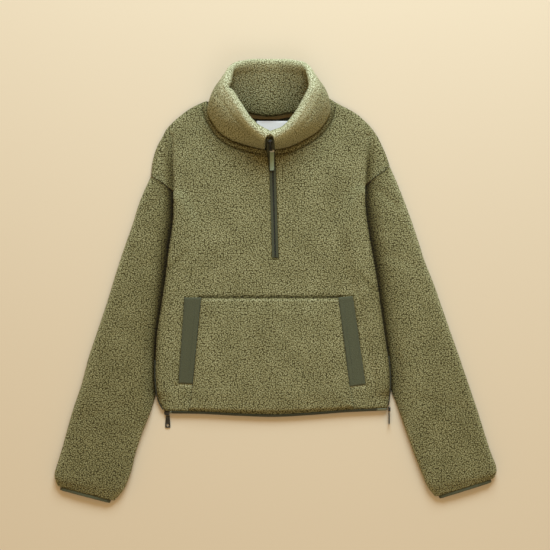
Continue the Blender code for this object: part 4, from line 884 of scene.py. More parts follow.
def collar_band():
    """Folded band: a U section whose centre line bows by a sine, carried round the neck.

    The section's outer face rises from the seat, turns half a circle over the rim and comes
    down inside. The rim swells a little, as a pressed fold does, above a shallow stitched dip.
    """
    seat, rim, bulge = collar_stations(COLLAR_STATIONS)
    ring = np.gradient(0.5 * (seat + rim), axis=0)
    rise = rim - seat
    rise = unit(rise)
    out = np.cross(ring, rise)
    out = unit(out)
    outward = (0.5 * (seat + rim))[:, :2] - np.array(NECK_MIDDLE)
    out *= np.sign((outward * out[:, :2]).sum(1).mean())
    base = seat + (0.5 * COLLAR_BASE_THICK * np.abs(out[:, 2]))[:, None] * Z_AXIS
    up = np.linspace(0.0, 1.0, COLLAR_FACE)
    turn = np.linspace(0.0, 1.0, COLLAR_TURN)[1:-1]
    share = np.concatenate([up, np.ones(len(turn)), up[::-1]])[:, None, None]
    turned = np.concatenate([np.zeros(len(up)), turn, np.ones(len(up))])[:, None, None]
    along = np.linspace(0.0, 1.0, COLLAR_STATIONS)[None, :, None]
    bow = np.sin(math.pi * share)
    centre = base + share * (rim - base) + bulge[:, None] * bow * out
    way = np.cos(math.pi * turned) * out + np.sin(math.pi * turned) * rise
    below = (1.0 - share) * np.linalg.norm(rim - base, axis=1)[:, None]
    swell = RIM_SWELL * (bell(below, RIM_SWELL_REACH) - bell(below - RIM_DIP_AT, RIM_DIP_REACH))
    thick = COLLAR_BASE_THICK + share * (COLLAR_RIM_THICK - COLLAR_BASE_THICK) + swell
    closing = smooth((1.0 - along) / COLLAR_END) - smooth(along / COLLAR_END)
    behind = 0.30 + 0.70 * smooth((turned - 0.28) / 0.30)
    centre = centre + behind * COLLAR_CLOSE * closing * X_AXIS
    fold = (COLLAR_FOLD_DEPTH * bell(along - COLLAR_FOLD_AT, COLLAR_FOLD_WIDTH)
            * np.sin(0.5 * math.pi * turned) ** 2)
    beside = smooth((np.abs(seat[:, 0] - NECK_MIDDLE.x) - 0.055) / 0.035)[None, :, None]
    flare = (turned == 0.0) * (FLARE_LOW * bell(share, FLARE_LOW_REACH) * (0.3 + 0.7 * beside)
                               + FLARE_SIDE * beside * bow)
    outer = centre + (0.5 * thick + flare - fold) * way
    inner = centre + COLLAR_SLOT * way
    ends = smooth(np.minimum(along, 1.0 - along)[..., 0] / 0.012)
    inside = smooth((turned - 0.55) / 0.3)
    # Painted light and shade: a painted highlight on the rim, painted shade at the foot and low
    # inside, both faces painted paler.
    tone = (band(RIM_LIGHT, below) * (1.0 - 0.6 * inside) + band(COLLAR_FOOT_SHADE, share)
            + COLLAR_OUTER_LIGHT * (1.0 - inside) + COLLAR_INNER_LIGHT * inside
            + inside * band(COLLAR_INNER_SHADE, share))
    cloth = grid(run_of(rim)[None], run_of(outer[:, len(ring) // 2])[:, None])
    return shell("collar_pile", pile(outer, inner, ends * np.ones(outer.shape[:2])), inner,
                 cloth=cloth, tone=tone[..., 0])


def pocket_panel():
    """Patch between the welts and down to the hem: a Coons patch, thin along its sewn edges."""
    gap = 0.0004
    left = [(TRIM_LEFT[1].x + gap, TRIM_LEFT[1].y), (TRIM_LEFT[2].x + gap, TRIM_LEFT[2].y),
            (-0.1545, -0.2320)]
    right = [(TRIM_RIGHT[0].x - gap, TRIM_RIGHT[0].y), (TRIM_RIGHT[3].x - gap, TRIM_RIGHT[3].y),
             (0.1390, -0.2285)]
    down = np.linspace(0.0, 1.0, POCKET_ROWS)
    down = down - 0.012 * np.sin(2.0 * math.pi * down)
    across = np.linspace(0.0, 1.0, POCKET_CELLS)
    start, end = polyline(left, down), polyline(right, down)
    top_edge = start[0] + across[:, None] * (end[0] - start[0])
    low_edge = start[-1] + across[:, None] * (end[-1] - start[-1])
    low_edge[:, 1] -= POCKET_SAG * np.sin(math.pi * across)
    x, y = plan_of(coons(top_edge, low_edge, start, end))
    edge = np.minimum(np.minimum(across, 1.0 - across)[None] * POCKET_WIDTH,
                      np.minimum(down, 1.0 - down)[:, None] * POCKET_HEIGHT)
    inner = grid(x, y, front_top(x, y) + LAID_GAP)
    thick = (POCKET_EDGE + (POCKET_THICK - POCKET_EDGE) * rounded(edge / 0.008)
             + POCKET_CROWN * smooth(edge / 0.035))
    outer = inner + thick[..., None] * Z_AXIS
    top = down[:, None] * POCKET_HEIGHT
    # Painted highlight and painted shade along the pocket's top, painted shade at its sides.
    tone = (band(POCKET_TOP_LIGHT, top - 0.0042) + band(POCKET_TOP_SHADE, top)
            + band(POCKET_EDGE_SHADE, edge) * smooth((0.165 - top) / 0.01))
    return shell("pocket_pile", pile(outer, inner, 0.25 + 0.75 * smooth(edge / 0.006)), inner,
                 cloth=laid_map(outer), tone=tone)


def welt(name, corners, mirror):
    """Woven welt: a strip with a raised fold along the pocket side and rounded long edges."""
    ring = np.array(corners)
    down = np.linspace(0.0, 1.0, WELT_ROWS)[:, None, None]
    across = np.linspace(0.0, 1.0, WELT_CELLS)
    if mirror:
        ring = ring[[1, 0, 3, 2]]
    share = across[None, :, None]
    flat = ((1 - down) * ((1 - share) * ring[0] + share * ring[1])
            + down * ((1 - share) * ring[3] + share * ring[2]))
    x, y = plan_of(flat)
    width = np.linalg.norm(ring[1] - ring[0])
    length = np.linalg.norm(ring[3] - ring[0])
    edge = np.minimum(np.minimum(across, 1.0 - across)[None] * width,
                      np.minimum(down, 1.0 - down)[..., 0] * length)
    fold = bell(across * width - WELT_FOLD_AT, 0.0011)
    sag = np.sin(math.pi * across) * (0.4 + 0.6 * np.sin(math.pi * down[..., 0]))
    under = front_top(x, y) + LAID_GAP
    thick = 0.0004 + 0.0012 * rounded(edge / 0.0012) + 0.0002 * fold[None] - 0.0004 * sag
    cloth = grid(across[None] * width, down[..., 0] * length)
    return shell(name, grid(x, y, under + thick), grid(x, y, under), cloth=cloth), ring


def pebble():
    """A cube of two by two faces a side, blown out to a round-cornered form; all quads."""
    steps = np.array([-1.0, 0.0, 1.0])
    points = np.stack(np.meshgrid(steps, steps, steps, indexing="ij"), -1).reshape(-1, 3)
    number = np.arange(27).reshape(3, 3, 3)
    faces = []
    for axis in range(3):
        for end in (0, 2):
            side = number.take(end, axis=axis)
            quads = np.stack([side[:-1, :-1], side[1:, :-1], side[1:, 1:], side[:-1, 1:]], -1)
            quads = quads.reshape(-1, 4)
            flipped = (end == 0) == (axis != 1)
            faces.append(quads[:, ::-1] if flipped else quads)
    size = np.maximum((np.abs(points) ** 3).sum(1, keepdims=True) ** (1 / 3), 1e-9)
    return points / size, np.concatenate(faces)


def strewn(name, centres, along, up, size):
    """One pebble at each centre, turned along and up there: axes times size, as one mesh."""
    ball, faces = pebble()
    along = unit(np.broadcast_to(along, centres.shape))
    side = unit(np.cross(np.broadcast_to(up, centres.shape), along))
    top = np.cross(along, side)
    points = centres[:, None] + sum(
        ball[None, :, k:k + 1] * size[k] * way[:, None] for k, way in enumerate((along, side, top)))
    every = faces[None] + 27 * np.arange(len(centres))[:, None, None]
    return closed_mesh(name, points.reshape(-1, 3) + PLAN_SHIFT, every.reshape(-1, 4))


def stitch_row(path, height):
    """Middles and directions of even stitches along a plan line, laid at a height function."""
    line = np.array(path)
    pitch = STITCH_LENGTH + STITCH_GAP
    total = line_length(line)
    count = int(total // pitch)
    shares = (np.arange(count) + 0.5) * pitch / total
    middle = polyline(line, shares)
    ahead = polyline(line, np.minimum(shares + 0.2 * pitch / total, 1.0))
    back = polyline(line, shares - 0.2 * pitch / total)
    centre, before, after = (grid(*plan_of(spots), height(*plan_of(spots)))
                             for spots in (middle, back, ahead))
    return centre, after - before


def hem_edge(name, start, stop, side):
    """Folded woven edge under the hem: a bight whose outer line is a half ellipse."""
    hem = HEM_LEFT[:-1] + [PlanPoint(-0.0011, -0.2421)] + HEM_RIGHT[-2::-1]
    count = max(8, round(190 * (stop - start)))
    line = curve_through(hem, 0, np.linspace(start, stop, count))
    level = body_levels(line[:, 0], line[:, 1])
    share = np.linspace(0.0, 1.0, 9)[:, None]
    drop = SEAM_GAP + (HEM_BINDING - SEAM_GAP) * share
    x, y = line[:, 0] + 0.0 * share, line[:, 1] - drop
    if side > 0:
        low = level.seam + HALF_GAP + 0.0 * share
        high = plain_top(line[:, 0], line[:, 1]) - 0.0004
    else:
        low = level.seam - HALF_GAP + 0.0 * share
        high = level.under + 0.0 * line[:, 0]
    bight = low + (high - low) * np.sqrt(1.0 - (0.93 * share) ** 2)
    along = run_of(line)
    cloth = grid(drop, along[None])
    return shell(name, grid(x, y, bight), grid(x, y, low), cloth=cloth)


def cuff_edge(name, row, before):
    """Flat woven ring: a superellipse section carried forward, rolled under at its end."""
    end = np.array([row.outer_x, row.outer_y, row.inner_x, row.inner_y])
    way = end - np.array([before.outer_x, before.outer_y, before.inner_x, before.inner_y])
    way = way[:2] + way[2:]
    way = unit(way)
    start = end[:2] + CUFF_SHRINK * (end[2:] - end[:2])
    stop = end[2:] + CUFF_SHRINK * (end[:2] - end[2:])
    length = np.linalg.norm(stop - start)
    across = (stop - start) / length
    angles = np.linspace(0.0, 2.0 * math.pi, 168, endpoint=False)
    forward = np.linspace(SEAM_GAP, CUFF_BINDING, 11)[:, None]
    curl = 0.0011 * (1.0 - rounded((CUFF_BINDING - forward) / 0.0022))
    ripple = 0.0004 * np.sin(9.0 * angles) * forward / CUFF_BINDING

    def ring(width, height, squeeze):
        side = bent(np.cos(angles), 0.35) * (width - squeeze)
        rise = bent(np.sin(angles), 0.75) * (height - squeeze)
        middle = 0.5 * (start + stop) + way * forward
        spot = middle[:, None] + side[..., None] * across
        return grid(spot[..., 0], spot[..., 1], CUFF_HALF_HEIGHT + 0.0004 + rise + ripple)

    outer = ring(0.5 * length, CUFF_HALF_HEIGHT, curl)
    inner = ring(0.5 * length - BINDING_WALL, CUFF_HALF_HEIGHT - BINDING_WALL, 0.0)
    cloth = grid(forward, angles[None] * 0.5 * length / math.pi * 2)
    return shell(name, outer, inner, ring=True, cloth=cloth)


def label_patch():
    """Blank woven label: a thin slab that bows a little, its edges folded under."""
    left, right, low, high = LABEL_BOX
    x, y = np.meshgrid(np.linspace(left, right, 62), np.linspace(low, high, 32))
    edge = np.minimum(np.minimum(x - left, right - x), np.minimum(y - low, high - y))
    under = back_inner(x, y) + 0.0004
    thick = 0.0003 + 0.0005 * rounded(edge / 0.0008) + 0.00025 * bell(edge, 0.002)
    wave = 0.0003 * (1.0 + np.sin(95.0 * x + 0.6)) * smooth(edge / 0.004)
    return shell("blank_label", grid(x, y, under + thick + wave), grid(x, y, under),
                 cloth=grid(x, y))


def zip_path(count):
    """Top of the zip from its lower end, over the neck seam and up the collar: y, z, normals."""
    y = np.linspace(ZIP_END_Y + 0.0005, ZIP_NECK_Y, count)
    body = np.stack([y, plain_top(zip_x(y), y) - ZIP_SUNK], -1)
    rise = curve_through([body[-1]] + [tuple(point) for point in ZIP_RISE], count // 4)
    side = np.concatenate([body, rise[1:]])
    slope = np.gradient(side, axis=0)
    slope = unit(slope)
    return side, np.stack([-slope[:, 1], slope[:, 0]], -1)


def tape(name, left, right):
    """One side of the zip: a ribbon with a corded inner edge and fine ribs across."""
    side, normal = zip_path(ZIP_STATIONS)
    centre = zip_x(side[:, 0])
    across = np.linspace(left, right, 13)[None, :]
    inner_edge = np.abs(across) - 0.5 * CHAIN_WIDTH
    cord = 0.00035 * bell(inner_edge - 0.0012, 0.0007)
    outer_dip = 0.0004 * bell(np.abs(across) - 0.5 * ZIP_WIDTH, 0.0012)
    lift = (cord - outer_dip)[..., None] * normal[:, None]
    top = grid(centre[:, None] + across, side[:, :1] + lift[..., 0],
                                       side[:, 1:] + lift[..., 1])
    low = side - TAPE_THICK * normal
    under = grid(centre[:, None] + across, low[:, :1], low[:, 1:])
    along = run_of(side)
    cloth = grid(across, along[:, None])
    return shell(name, top, under, cloth=cloth)


def zip_teeth_mesh():
    """Moulded coil: pebbles on both sides of the centre line, half a pitch apart."""
    side, normal = zip_path(ZIP_STATIONS)
    along = run_of(side)
    at = np.arange(TOOTH_PITCH, along[-1] - TOOTH_PITCH, TOOTH_PITCH)
    rows = []
    for hand, shift in ((-1.0, 0.0), (1.0, 0.5 * TOOTH_PITCH)):
        y, z = np.interp(at + shift, along, side[:, 0]), np.interp(at + shift, along, side[:, 1])
        ny, nz = np.interp(at, along, normal[:, 0]), np.interp(at, along, normal[:, 1])
        rows.append(np.stack([zip_x(y) + hand * 0.00038, y - 0.0004 * ny, z - 0.0004 * nz,
                              ny, nz], -1))
    rows = np.concatenate(rows)
    up = grid(0.0, rows[:, 3], rows[:, 4])
    way = grid(0.0, rows[:, 4], -rows[:, 3])
    return strewn("zip_coil", rows[:, :3], way, up, TOOTH)


def capped(rings):
    """Closed surface through rings of points, each end drawn to its ring's middle."""
    count, around = rings.shape[:2]
    r, c = (index.ravel() for index in np.indices((count - 1, around)))
    d = (c + 1) % around
    a, b, e, f = r * around + c, r * around + d, (r + 1) * around + d, (r + 1) * around + c
    first = np.arange(around)
    after = (first + 1) % around
    pole, last = count * around, (count - 1) * around
    faces = [np.stack([a, b, e], -1), np.stack([a, e, f], -1),
             np.stack([after, first, np.full(around, pole)], -1),
             np.stack([first + last, after + last, np.full(around, pole + 1)], -1)]
    points = np.concatenate([rings.reshape(-1, 3), rings[:1].mean(1), rings[-1:].mean(1)])
    return points, np.concatenate(faces)


def joined(name, forms):
    """One mesh from closed forms, their faces renumbered in turn."""
    starts = np.cumsum([0] + [len(points) for points, _ in forms[:-1]])
    points = np.concatenate([points for points, _ in forms]) + PLAN_SHIFT
    return closed_mesh(name, points, np.concatenate([f + s for (_, f), s in zip(forms, starts)]))


def slab(centre, axes, outline, thick, edge):
    """Plate from a plan outline: rings shrink by a quarter circle at its rounded edges."""
    angle = np.linspace(-0.5 * math.pi, 0.5 * math.pi, 9)[:, None]
    radius = np.linalg.norm(outline, axis=1)[None]
    scale = 1.0 - edge * (1.0 - np.cos(angle)) / radius
    height = np.sign(np.sin(angle)) * (0.5 * thick - edge) + edge * np.sin(angle)
    cross, along, facing = axes
    flat = outline[None] * scale[..., None]
    rings = (np.array(centre) + flat[..., :1] * cross + flat[..., 1:] * along
             + (height * np.ones_like(radius))[..., None] * facing)
    return capped(rings)


def rounded_outline(width, length, power=0.35, taper=0.0, count=44):
    """Superellipse outline: signed powers of cosine and sine, narrowed along its length."""
    turn = np.linspace(0.0, 2.0 * math.pi, count, endpoint=False)
    x = bent(np.cos(turn), power)
    y = bent(np.sin(turn), power)
    return np.stack([0.5 * width * x * (1.0 + taper * y), 0.5 * length * y], -1)


def bar(path, across, half_width, half_thick, closed=False):
    """Bar along a path of points: an elliptic section, its flat side across a given way."""
    path = np.array(path)
    if closed:
        wrapped = np.concatenate([path[-1:], path, path[:1]])
        tangent = wrapped[2:] - wrapped[:-2]
    else:
        tangent = np.gradient(path, axis=0)
    tangent = unit(tangent)
    side = np.cross(np.broadcast_to(across, path.shape), tangent)
    side = unit(side)
    top = np.cross(tangent, side)
    turn = np.linspace(0.0, 2.0 * math.pi, 10, endpoint=False)[None, :, None]
    rings = (path[:, None] + half_width * np.cos(turn) * side[:, None]
             + half_thick * np.sin(turn) * top[:, None])
    if not closed:
        return capped(rings)
    count, around = rings.shape[:2]
    r, c = (index.ravel() for index in np.indices((count, around)))
    d, s = (c + 1) % around, (r + 1) % count
    a, b, e, f = r * around + c, r * around + d, s * around + d, s * around + c
    return rings.reshape(-1, 3), np.concatenate([np.stack([a, b, e], -1), np.stack([a, e, f], -1)])


def slider_frame():
    """Place of the front slider on the rising zip, its way up the chain and its facing."""
    side, _ = zip_path(ZIP_STATIONS)
    rise = side[side[:, 1] > 0.030]
    at_y = np.interp(SLIDER_Z, rise[:, 1], rise[:, 0])
    low_y = np.interp(SLIDER_Z - 0.006, rise[:, 1], rise[:, 0])
    along = np.array([0.0, at_y - low_y, 0.006])
    along = unit(along)
    facing = np.array([0.0, -along[2], along[1]])
    return np.array([zip_x(at_y), at_y, SLIDER_Z]), along, facing


def front_slider():
    """Slider: a shield plate, a raised neck and an arched bail over the pull's hinge."""
    centre, along, facing = slider_frame()
    axes = (X_AXIS, along, facing)
    width, length, _ = SLIDER_SIZE
    face = centre + facing * (SLIDER_CLEAR + 0.5 * SLIDER_PLATE)
    turn = np.linspace(0.0, math.pi, 17)[:, None]
    arch = (face + facing * 0.0010 + np.cos(turn) * BAIL_REACH * along
            + np.sin(turn) * BAIL_RISE * facing)
    return joined("front_slider", [
        slab(face, axes, rounded_outline(width, length, 0.45, 0.12), SLIDER_PLATE, PLATE_EDGE),
        slab(face + facing * 0.0007, axes, rounded_outline(0.55 * width, 0.8 * length, 0.6, 0.2),
             0.0014, PLATE_EDGE),
        bar(arch, X_AXIS, 0.0011, 0.0006)])


def pull_line():
    """Hinge and foot of the pull's link, as the solids have them."""
    centre, along, facing = slider_frame()
    hinge = (centre + facing * (SLIDER_CLEAR + SLIDER_SIZE[2] + PULL_CLEAR + 0.5 * LINK_SIZE[1])
             - along * 0.0015)
    return hinge, np.array([hinge[0] + 0.0012, LINK_END.y, LINK_END.z]), facing


def pull_link():
    """Link: a flat loop from the bail down to the tab, a stadium path with a bar's section."""
    hinge, foot, facing = pull_line()
    way = foot - hinge
    length = np.linalg.norm(way)
    way /= length
    cross = np.cross(way, facing)
    cross = unit(cross)
    normal = np.cross(cross, way)
    turn = np.linspace(0.0, 2.0 * math.pi, 64, endpoint=False)
    side = bent(np.cos(turn), 0.5) * (0.5 * LINK_SIZE[0] - 0.0009)
    run = bent(np.sin(turn), 0.28) * (0.5 * length - 0.0004)
    loop = 0.5 * (hinge + foot) + side[:, None] * cross + run[:, None] * way
    mid = 0.5 * (hinge + foot) + 0.30 * length * way
    brace = [mid - 0.0022 * cross, mid + 0.0022 * cross]
    return joined("front_pull_link", [bar(loop, normal, 0.0009, 0.0008, closed=True),
                                      bar(np.linspace(*brace, 5), normal, 0.0008, 0.0007)])


def tab_frame():
    """Middle of the pull tab, resting on the fleece beside the slot."""
    tab_y = LINK_END.y - 0.0010 - 0.5 * TAB_LENGTH
    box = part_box("zip_pull_tab")
    return np.array([float(zip_x(tab_y)) + 0.0006, tab_y, 0.5 * (box[0][2] + box[1][2])])


def pull_tab():
    """Tab: a thin plate with a shallow raised field."""
    centre = tab_frame()
    plate = rounded_outline(TAB_WIDTH, TAB_LENGTH, TAB_SQUARE)
    field = rounded_outline(TAB_WIDTH - 0.0030, TAB_LENGTH - 0.0075, TAB_SQUARE)
    return joined("front_pull_tab", [slab(centre, PLAN_AXES, plate, TAB_THICK, PLATE_EDGE),
                                     slab(centre + Z_AXIS * 0.00062, PLAN_AXES, field, 0.0009,
                                          0.0003)])


def tab_rim():
    """Darker rolled rim round the tab, a bar along its outline."""
    outline = rounded_outline(TAB_WIDTH - 0.0006, TAB_LENGTH - 0.0006, TAB_SQUARE, count=88)
    path = tab_frame() + grid(*plan_of(outline), 0.0004)
    return joined("front_pull_rim", [bar(path, Z_AXIS, 0.00062, 0.00062, True)])


def tab_crimp():
    """Pale crimp that holds the tab to its link: a rounded bar across the tab's top."""
    centre = tab_frame() + np.array([0.0, 0.5 * TAB_LENGTH + 0.0008, 0.0007])
    width, length, thick = CRIMP_SIZE
    return joined("front_pull_crimp", [slab(centre, PLAN_AXES, rounded_outline(width, length),
                                            thick, 0.0011)])


def side_line(seam, start_y, hand):
    """Plan line of a side zip, its outward ways and seam heights."""
    line = curve_through(seam, 240)
    line = line[(line[:, 1] > start_y) & (line[:, 1] < start_y + SIDE_ZIP_LENGTH)]
    slope = np.gradient(line, axis=0)
    slope = unit(slope)
    out = np.stack([slope[:, 1], -slope[:, 0]], -1) * hand
    return line, out, body_levels(line[:, 0], line[:, 1]).seam


def side_tape(name, seam, start_y, hand):
    """Ribbon standing on the side seam, with a corded edge each side of the coil."""
    line, out, level = side_line(seam, start_y, hand)
    rise = np.linspace(-0.5, 0.5, 9)[None, :] * SIDE_ZIP_WIDTH
    cord = 0.0003 * bell(np.abs(rise) - 0.0013, 0.0004)
    faces = []
    for distance in (SIDE_ZIP_GAP + SIDE_ZIP_THICK + cord, SIDE_ZIP_GAP):
        faces.append(grid(line[:, :1] + out[:, :1] * distance, line[:, 1:] + out[:, 1:] * distance,
                          level[:, None] + rise))
    along = run_of(line)
    cloth = grid(rise, along[:, None])
    return shell(name, faces[0], faces[1], cloth=cloth)


def side_coil(name, seam, start_y, hand):
    """Coil on a side zip: pebbles above and below its middle line."""
    line, out, level = side_line(seam, start_y, hand)
    along = run_of(line)
    at = np.arange(0.004, along[-1] - 0.001, TOOTH_PITCH)
    x, y, z, ox, oy = (np.interp(at, along, values) for values in (*line.T, level, *out.T))
    reach = SIDE_ZIP_GAP + SIDE_ZIP_THICK + 0.0001
    spots = []
    for lift, shift in ((-0.0004, 0.0), (0.0004, 0.5 * TOOTH_PITCH * hand)):
        spots.append(grid(x + ox * reach - oy * shift, y + oy * reach + ox * shift, z + lift))
    way, up = grid(-oy, ox, 0.0), grid(ox, oy, 0.0)
    return strewn(name, np.concatenate(spots), np.concatenate([way, way]),
                  np.concatenate([up, up]), SIDE_TOOTH)


def side_slider(name, centre, facing, size):
    """Side slider: two shield plates on a waist, the front one with a bail."""
    axes = (np.cross(Y_AXIS, facing), Y_AXIS, facing)
    width, length, thick = size
    gap = 0.5 * thick - 0.0007
    plate = rounded_outline(width, length, 0.45, 0.1)
    waist = rounded_outline(0.45 * width, 0.7 * length, 0.6)
    return joined(name, [slab(centre + facing * gap, axes, plate, 0.0014, PLATE_EDGE),
                         slab(centre - facing * gap, axes, plate, 0.0014, PLATE_EDGE),
                         slab(centre, axes, waist, thick - 0.0012, 0.0003)])


def holed_pull(name, start, facing):
    """Flat pull that widens to a square end, rows of points from its rim to its round hole."""
    cross = np.cross(-Y_AXIS, facing)
    wide_start, wide_end, turn_at = PULL_START, PULL_END, 0.72 * PULL_LENGTH
    arc = np.linspace(0.0, math.pi, 25)
    cap = grid(0.5 * wide_end * bent(np.cos(arc), 0.22),
               turn_at + (PULL_LENGTH - turn_at) * np.sin(arc) ** 0.22)
    foot = np.stack([np.linspace(-0.5, 0.5, 7)[1:-1] * wide_start, np.zeros(5)], -1)
    sides = np.linspace(0.03, 0.97, 12)[:, None]
    right = np.array([0.5 * wide_start, 0.0]) * (1 - sides) + cap[0] * sides
    left = cap[-1] * (1 - sides) + np.array([-0.5 * wide_start, 0.0]) * sides
    outline = np.concatenate([foot, right, cap, left])
    middle = np.array([0.0, PULL_HOLE_AT * PULL_LENGTH])
    hole = middle + PULL_HOLE * unit(outline - middle)
    share = np.array([0.0, 0.03, 0.1, 0.5, 0.85, 0.95, 1.0])[:, None, None]
    lift = np.array([-0.8, -0.25, 0.0, 0.0, 0.0, -0.25, -0.8]) * 0.0005
    flat = outline + share * (hole - outline)
    faces = [start + flat[..., :1] * cross - flat[..., 1:] * Y_AXIS
             + (hand * (0.5 * PULL_THICK + lift))[:, None, None] * facing for hand in (1.0, -1.0)]
    return shell(name, *faces, ring=True)


def new_group(name, inputs, outputs):
    """Empty shader group with named sockets: each input has a kind and a default."""
    group = bpy.data.node_groups.new(name, "ShaderNodeTree")
    for label, kind, value in inputs:
        socket = group.interface.new_socket(label, in_out="INPUT", socket_type=kind)
        if value is not None:
            socket.default_value = value
    for label, kind in outputs:
        group.interface.new_socket(label, in_out="OUTPUT", socket_type=kind)
    return group, group.nodes.new("NodeGroupInput"), group.nodes.new("NodeGroupOutput")


def node(tree, kind, links=(), **settings):
    """A node with its settings; links is pairs of input and either a value or a socket."""
    made = tree.nodes.new(kind)
    for key, value in settings.items():
        setattr(made, key, value)
    for label, source in links:
        if isinstance(source, bpy.types.NodeSocket):
            tree.links.new(source, made.inputs[label])
        else:
            made.inputs[label].default_value = source
    return made


def calc(tree, operation, *values, clamp=False):
    made = node(tree, "ShaderNodeMath", list(enumerate(values)), operation=operation,
                use_clamp=clamp)
    return made.outputs[0]


def vector_calc(tree, operation, first, second):
    return node(tree, "ShaderNodeVectorMath", [(0, first), (1, second)],
                operation=operation).outputs[0]


def mix_colour(tree, factor, first, second, blend="MIX"):
    made = node(tree, "ShaderNodeMix", data_type="RGBA", blend_type=blend)
    for index, source in ((0, factor), (6, first), (7, second)):
        if isinstance(source, bpy.types.NodeSocket):
            tree.links.new(source, made.inputs[index])
        else:
            made.inputs[index].default_value = source
    return made.outputs[2]


def mapped(tree, value, low, high, to_low=0.0, to_high=1.0):
    made = node(tree, "ShaderNodeMapRange", [("Value", value), ("From Min", low),
                                             ("From Max", high), ("To Min", to_low),
                                             ("To Max", to_high)])
    return made.outputs[0]


def noise(tree, vector, scale, detail=2.0, output=0):
    made = node(tree, "ShaderNodeTexNoise", [("Vector", vector), ("Scale", scale),
                                             ("Detail", detail)])
    return made.outputs[output]


def curly_pile_group():
    """Curl: warped round clumps with smaller curls on them, dark between and pale on top."""
    group, given, out = new_group("curly pile", (
        ("Vector", "NodeSocketVector", None), ("Tone", "NodeSocketFloat", 0.0),
        ("Clump scale", "NodeSocketFloat", 385.0),
        ("Pit colour", "NodeSocketColor", (0.05, 0.045, 0.02, 1.0)),
        ("Pile colour", "NodeSocketColor", (0.2, 0.19, 0.09, 1.0)),
        ("Tip colour", "NodeSocketColor", (0.4, 0.39, 0.25, 1.0))),
        (("Colour", "NodeSocketColor"), ("Height", "NodeSocketFloat")))
    place, scale = given.outputs["Vector"], given.outputs["Clump scale"]
    times = functools.partial(calc, group, "MULTIPLY")
    plus = functools.partial(calc, group, "ADD")
    less = functools.partial(calc, group, "SUBTRACT")
    warp = noise(group, place, times(scale, 0.9), 2.0, 1)
    shift = vector_calc(group, "SUBTRACT", warp, (0.5, 0.5, 0.5))
    shift = node(group, "ShaderNodeVectorMath", [(0, shift), ("Scale", 0.0022)],
                 operation="SCALE").outputs[0]
    warped = vector_calc(group, "ADD", place, shift)
    big = node(group, "ShaderNodeTexVoronoi", [
        ("Vector", warped), ("Scale", scale), ("Randomness", 0.85)],
        feature="F1", voronoi_dimensions="2D").outputs["Distance"]
    small = node(group, "ShaderNodeTexVoronoi", [
        ("Vector", warped), ("Scale", times(scale, 2.6))],
        feature="F1", voronoi_dimensions="2D").outputs["Distance"]
    curl = noise(group, warped, times(scale, 3.2), 3.0)
    height = plus(times(less(1.0, times(big, 1.25)), 0.62),
                  plus(times(less(1.0, small), 0.24), times(curl, 0.30)))
    patches = noise(group, place, 22.0, 3.0)
    # Tone is painted light and shade: below zero it darkens and warms the colour, above zero it
    # mixes towards the tip colour as a painted highlight.
    tone = given.outputs["Tone"]
    shade = plus(plus(height, times(less(patches, 0.5), 0.17)), times(tone, 0.06))
    low = mix_colour(group, mapped(group, shade, 0.34, 0.70), given.outputs["Pit colour"],
                     given.outputs["Pile colour"])
    full = mix_colour(group, mapped(group, shade, 0.66, 0.86), low, given.outputs["Tip colour"])
    # depth is the darkening factor of the painted shade.
    depth = calc(group, "MAXIMUM", plus(1.0, times(tone, 0.72)), 0.10)
    filtered = node(group, "ShaderNodeCombineColor", [
        (0, depth), (1, calc(group, "POWER", depth, 1.12)), (2, calc(group, "POWER", depth, 1.5))])
    toned = mix_colour(group, 1.0, full, filtered.outputs[0], "MULTIPLY")
    toned = mix_colour(group, times(mapped(group, tone, 0.0, 1.2), 0.34), toned,
                       given.outputs["Tip colour"])
    group.links.new(toned, out.inputs["Colour"])
    group.links.new(height, out.inputs["Height"])
    return group


def twill_group():
    """Twill: a diagonal sine over crossing threads, from the cloth's own map in metres."""
    group, given, out = new_group("fine twill", (
        ("Vector", "NodeSocketVector", None), ("Thread", "NodeSocketFloat", 0.0009),
        ("Deep colour", "NodeSocketColor", (0.03, 0.035, 0.02, 1.0)),
        ("Cloth colour", "NodeSocketColor", (0.09, 0.1, 0.05, 1.0)),
        ("Slope", "NodeSocketFloat", 1.0)),
        (("Colour", "NodeSocketColor"), ("Height", "NodeSocketFloat")))
    parts = node(group, "ShaderNodeSeparateXYZ", [(0, given.outputs["Vector"])])
    turn = calc(group, "DIVIDE", 2.0 * math.pi, given.outputs["Thread"])
    slant = calc(group, "ADD", parts.outputs[0], calc(group, "MULTIPLY", parts.outputs[1],
                                                      given.outputs["Slope"]))
    rib = calc(group, "SINE", calc(group, "MULTIPLY", slant, turn))
    cross = calc(group, "SINE", calc(group, "MULTIPLY", parts.outputs[0],
                                     calc(group, "MULTIPLY", turn, 1.7)))
    weave = calc(group, "ADD", calc(group, "MULTIPLY", rib, 0.36),
                 calc(group, "MULTIPLY", cross, 0.14))
    slubs = noise(group, given.outputs["Vector"], 420.0, 3.0)
    height = calc(group, "ADD", calc(group, "ADD", weave, 0.5),
                  calc(group, "MULTIPLY", calc(group, "SUBTRACT", slubs, 0.5), 0.6))
    tone = mapped(group, height, 0.05, 0.95)
    group.links.new(mix_colour(group, tone, given.outputs["Deep colour"],
                               given.outputs["Cloth colour"]), out.inputs["Colour"])
    group.links.new(height, out.inputs["Height"])
    return group


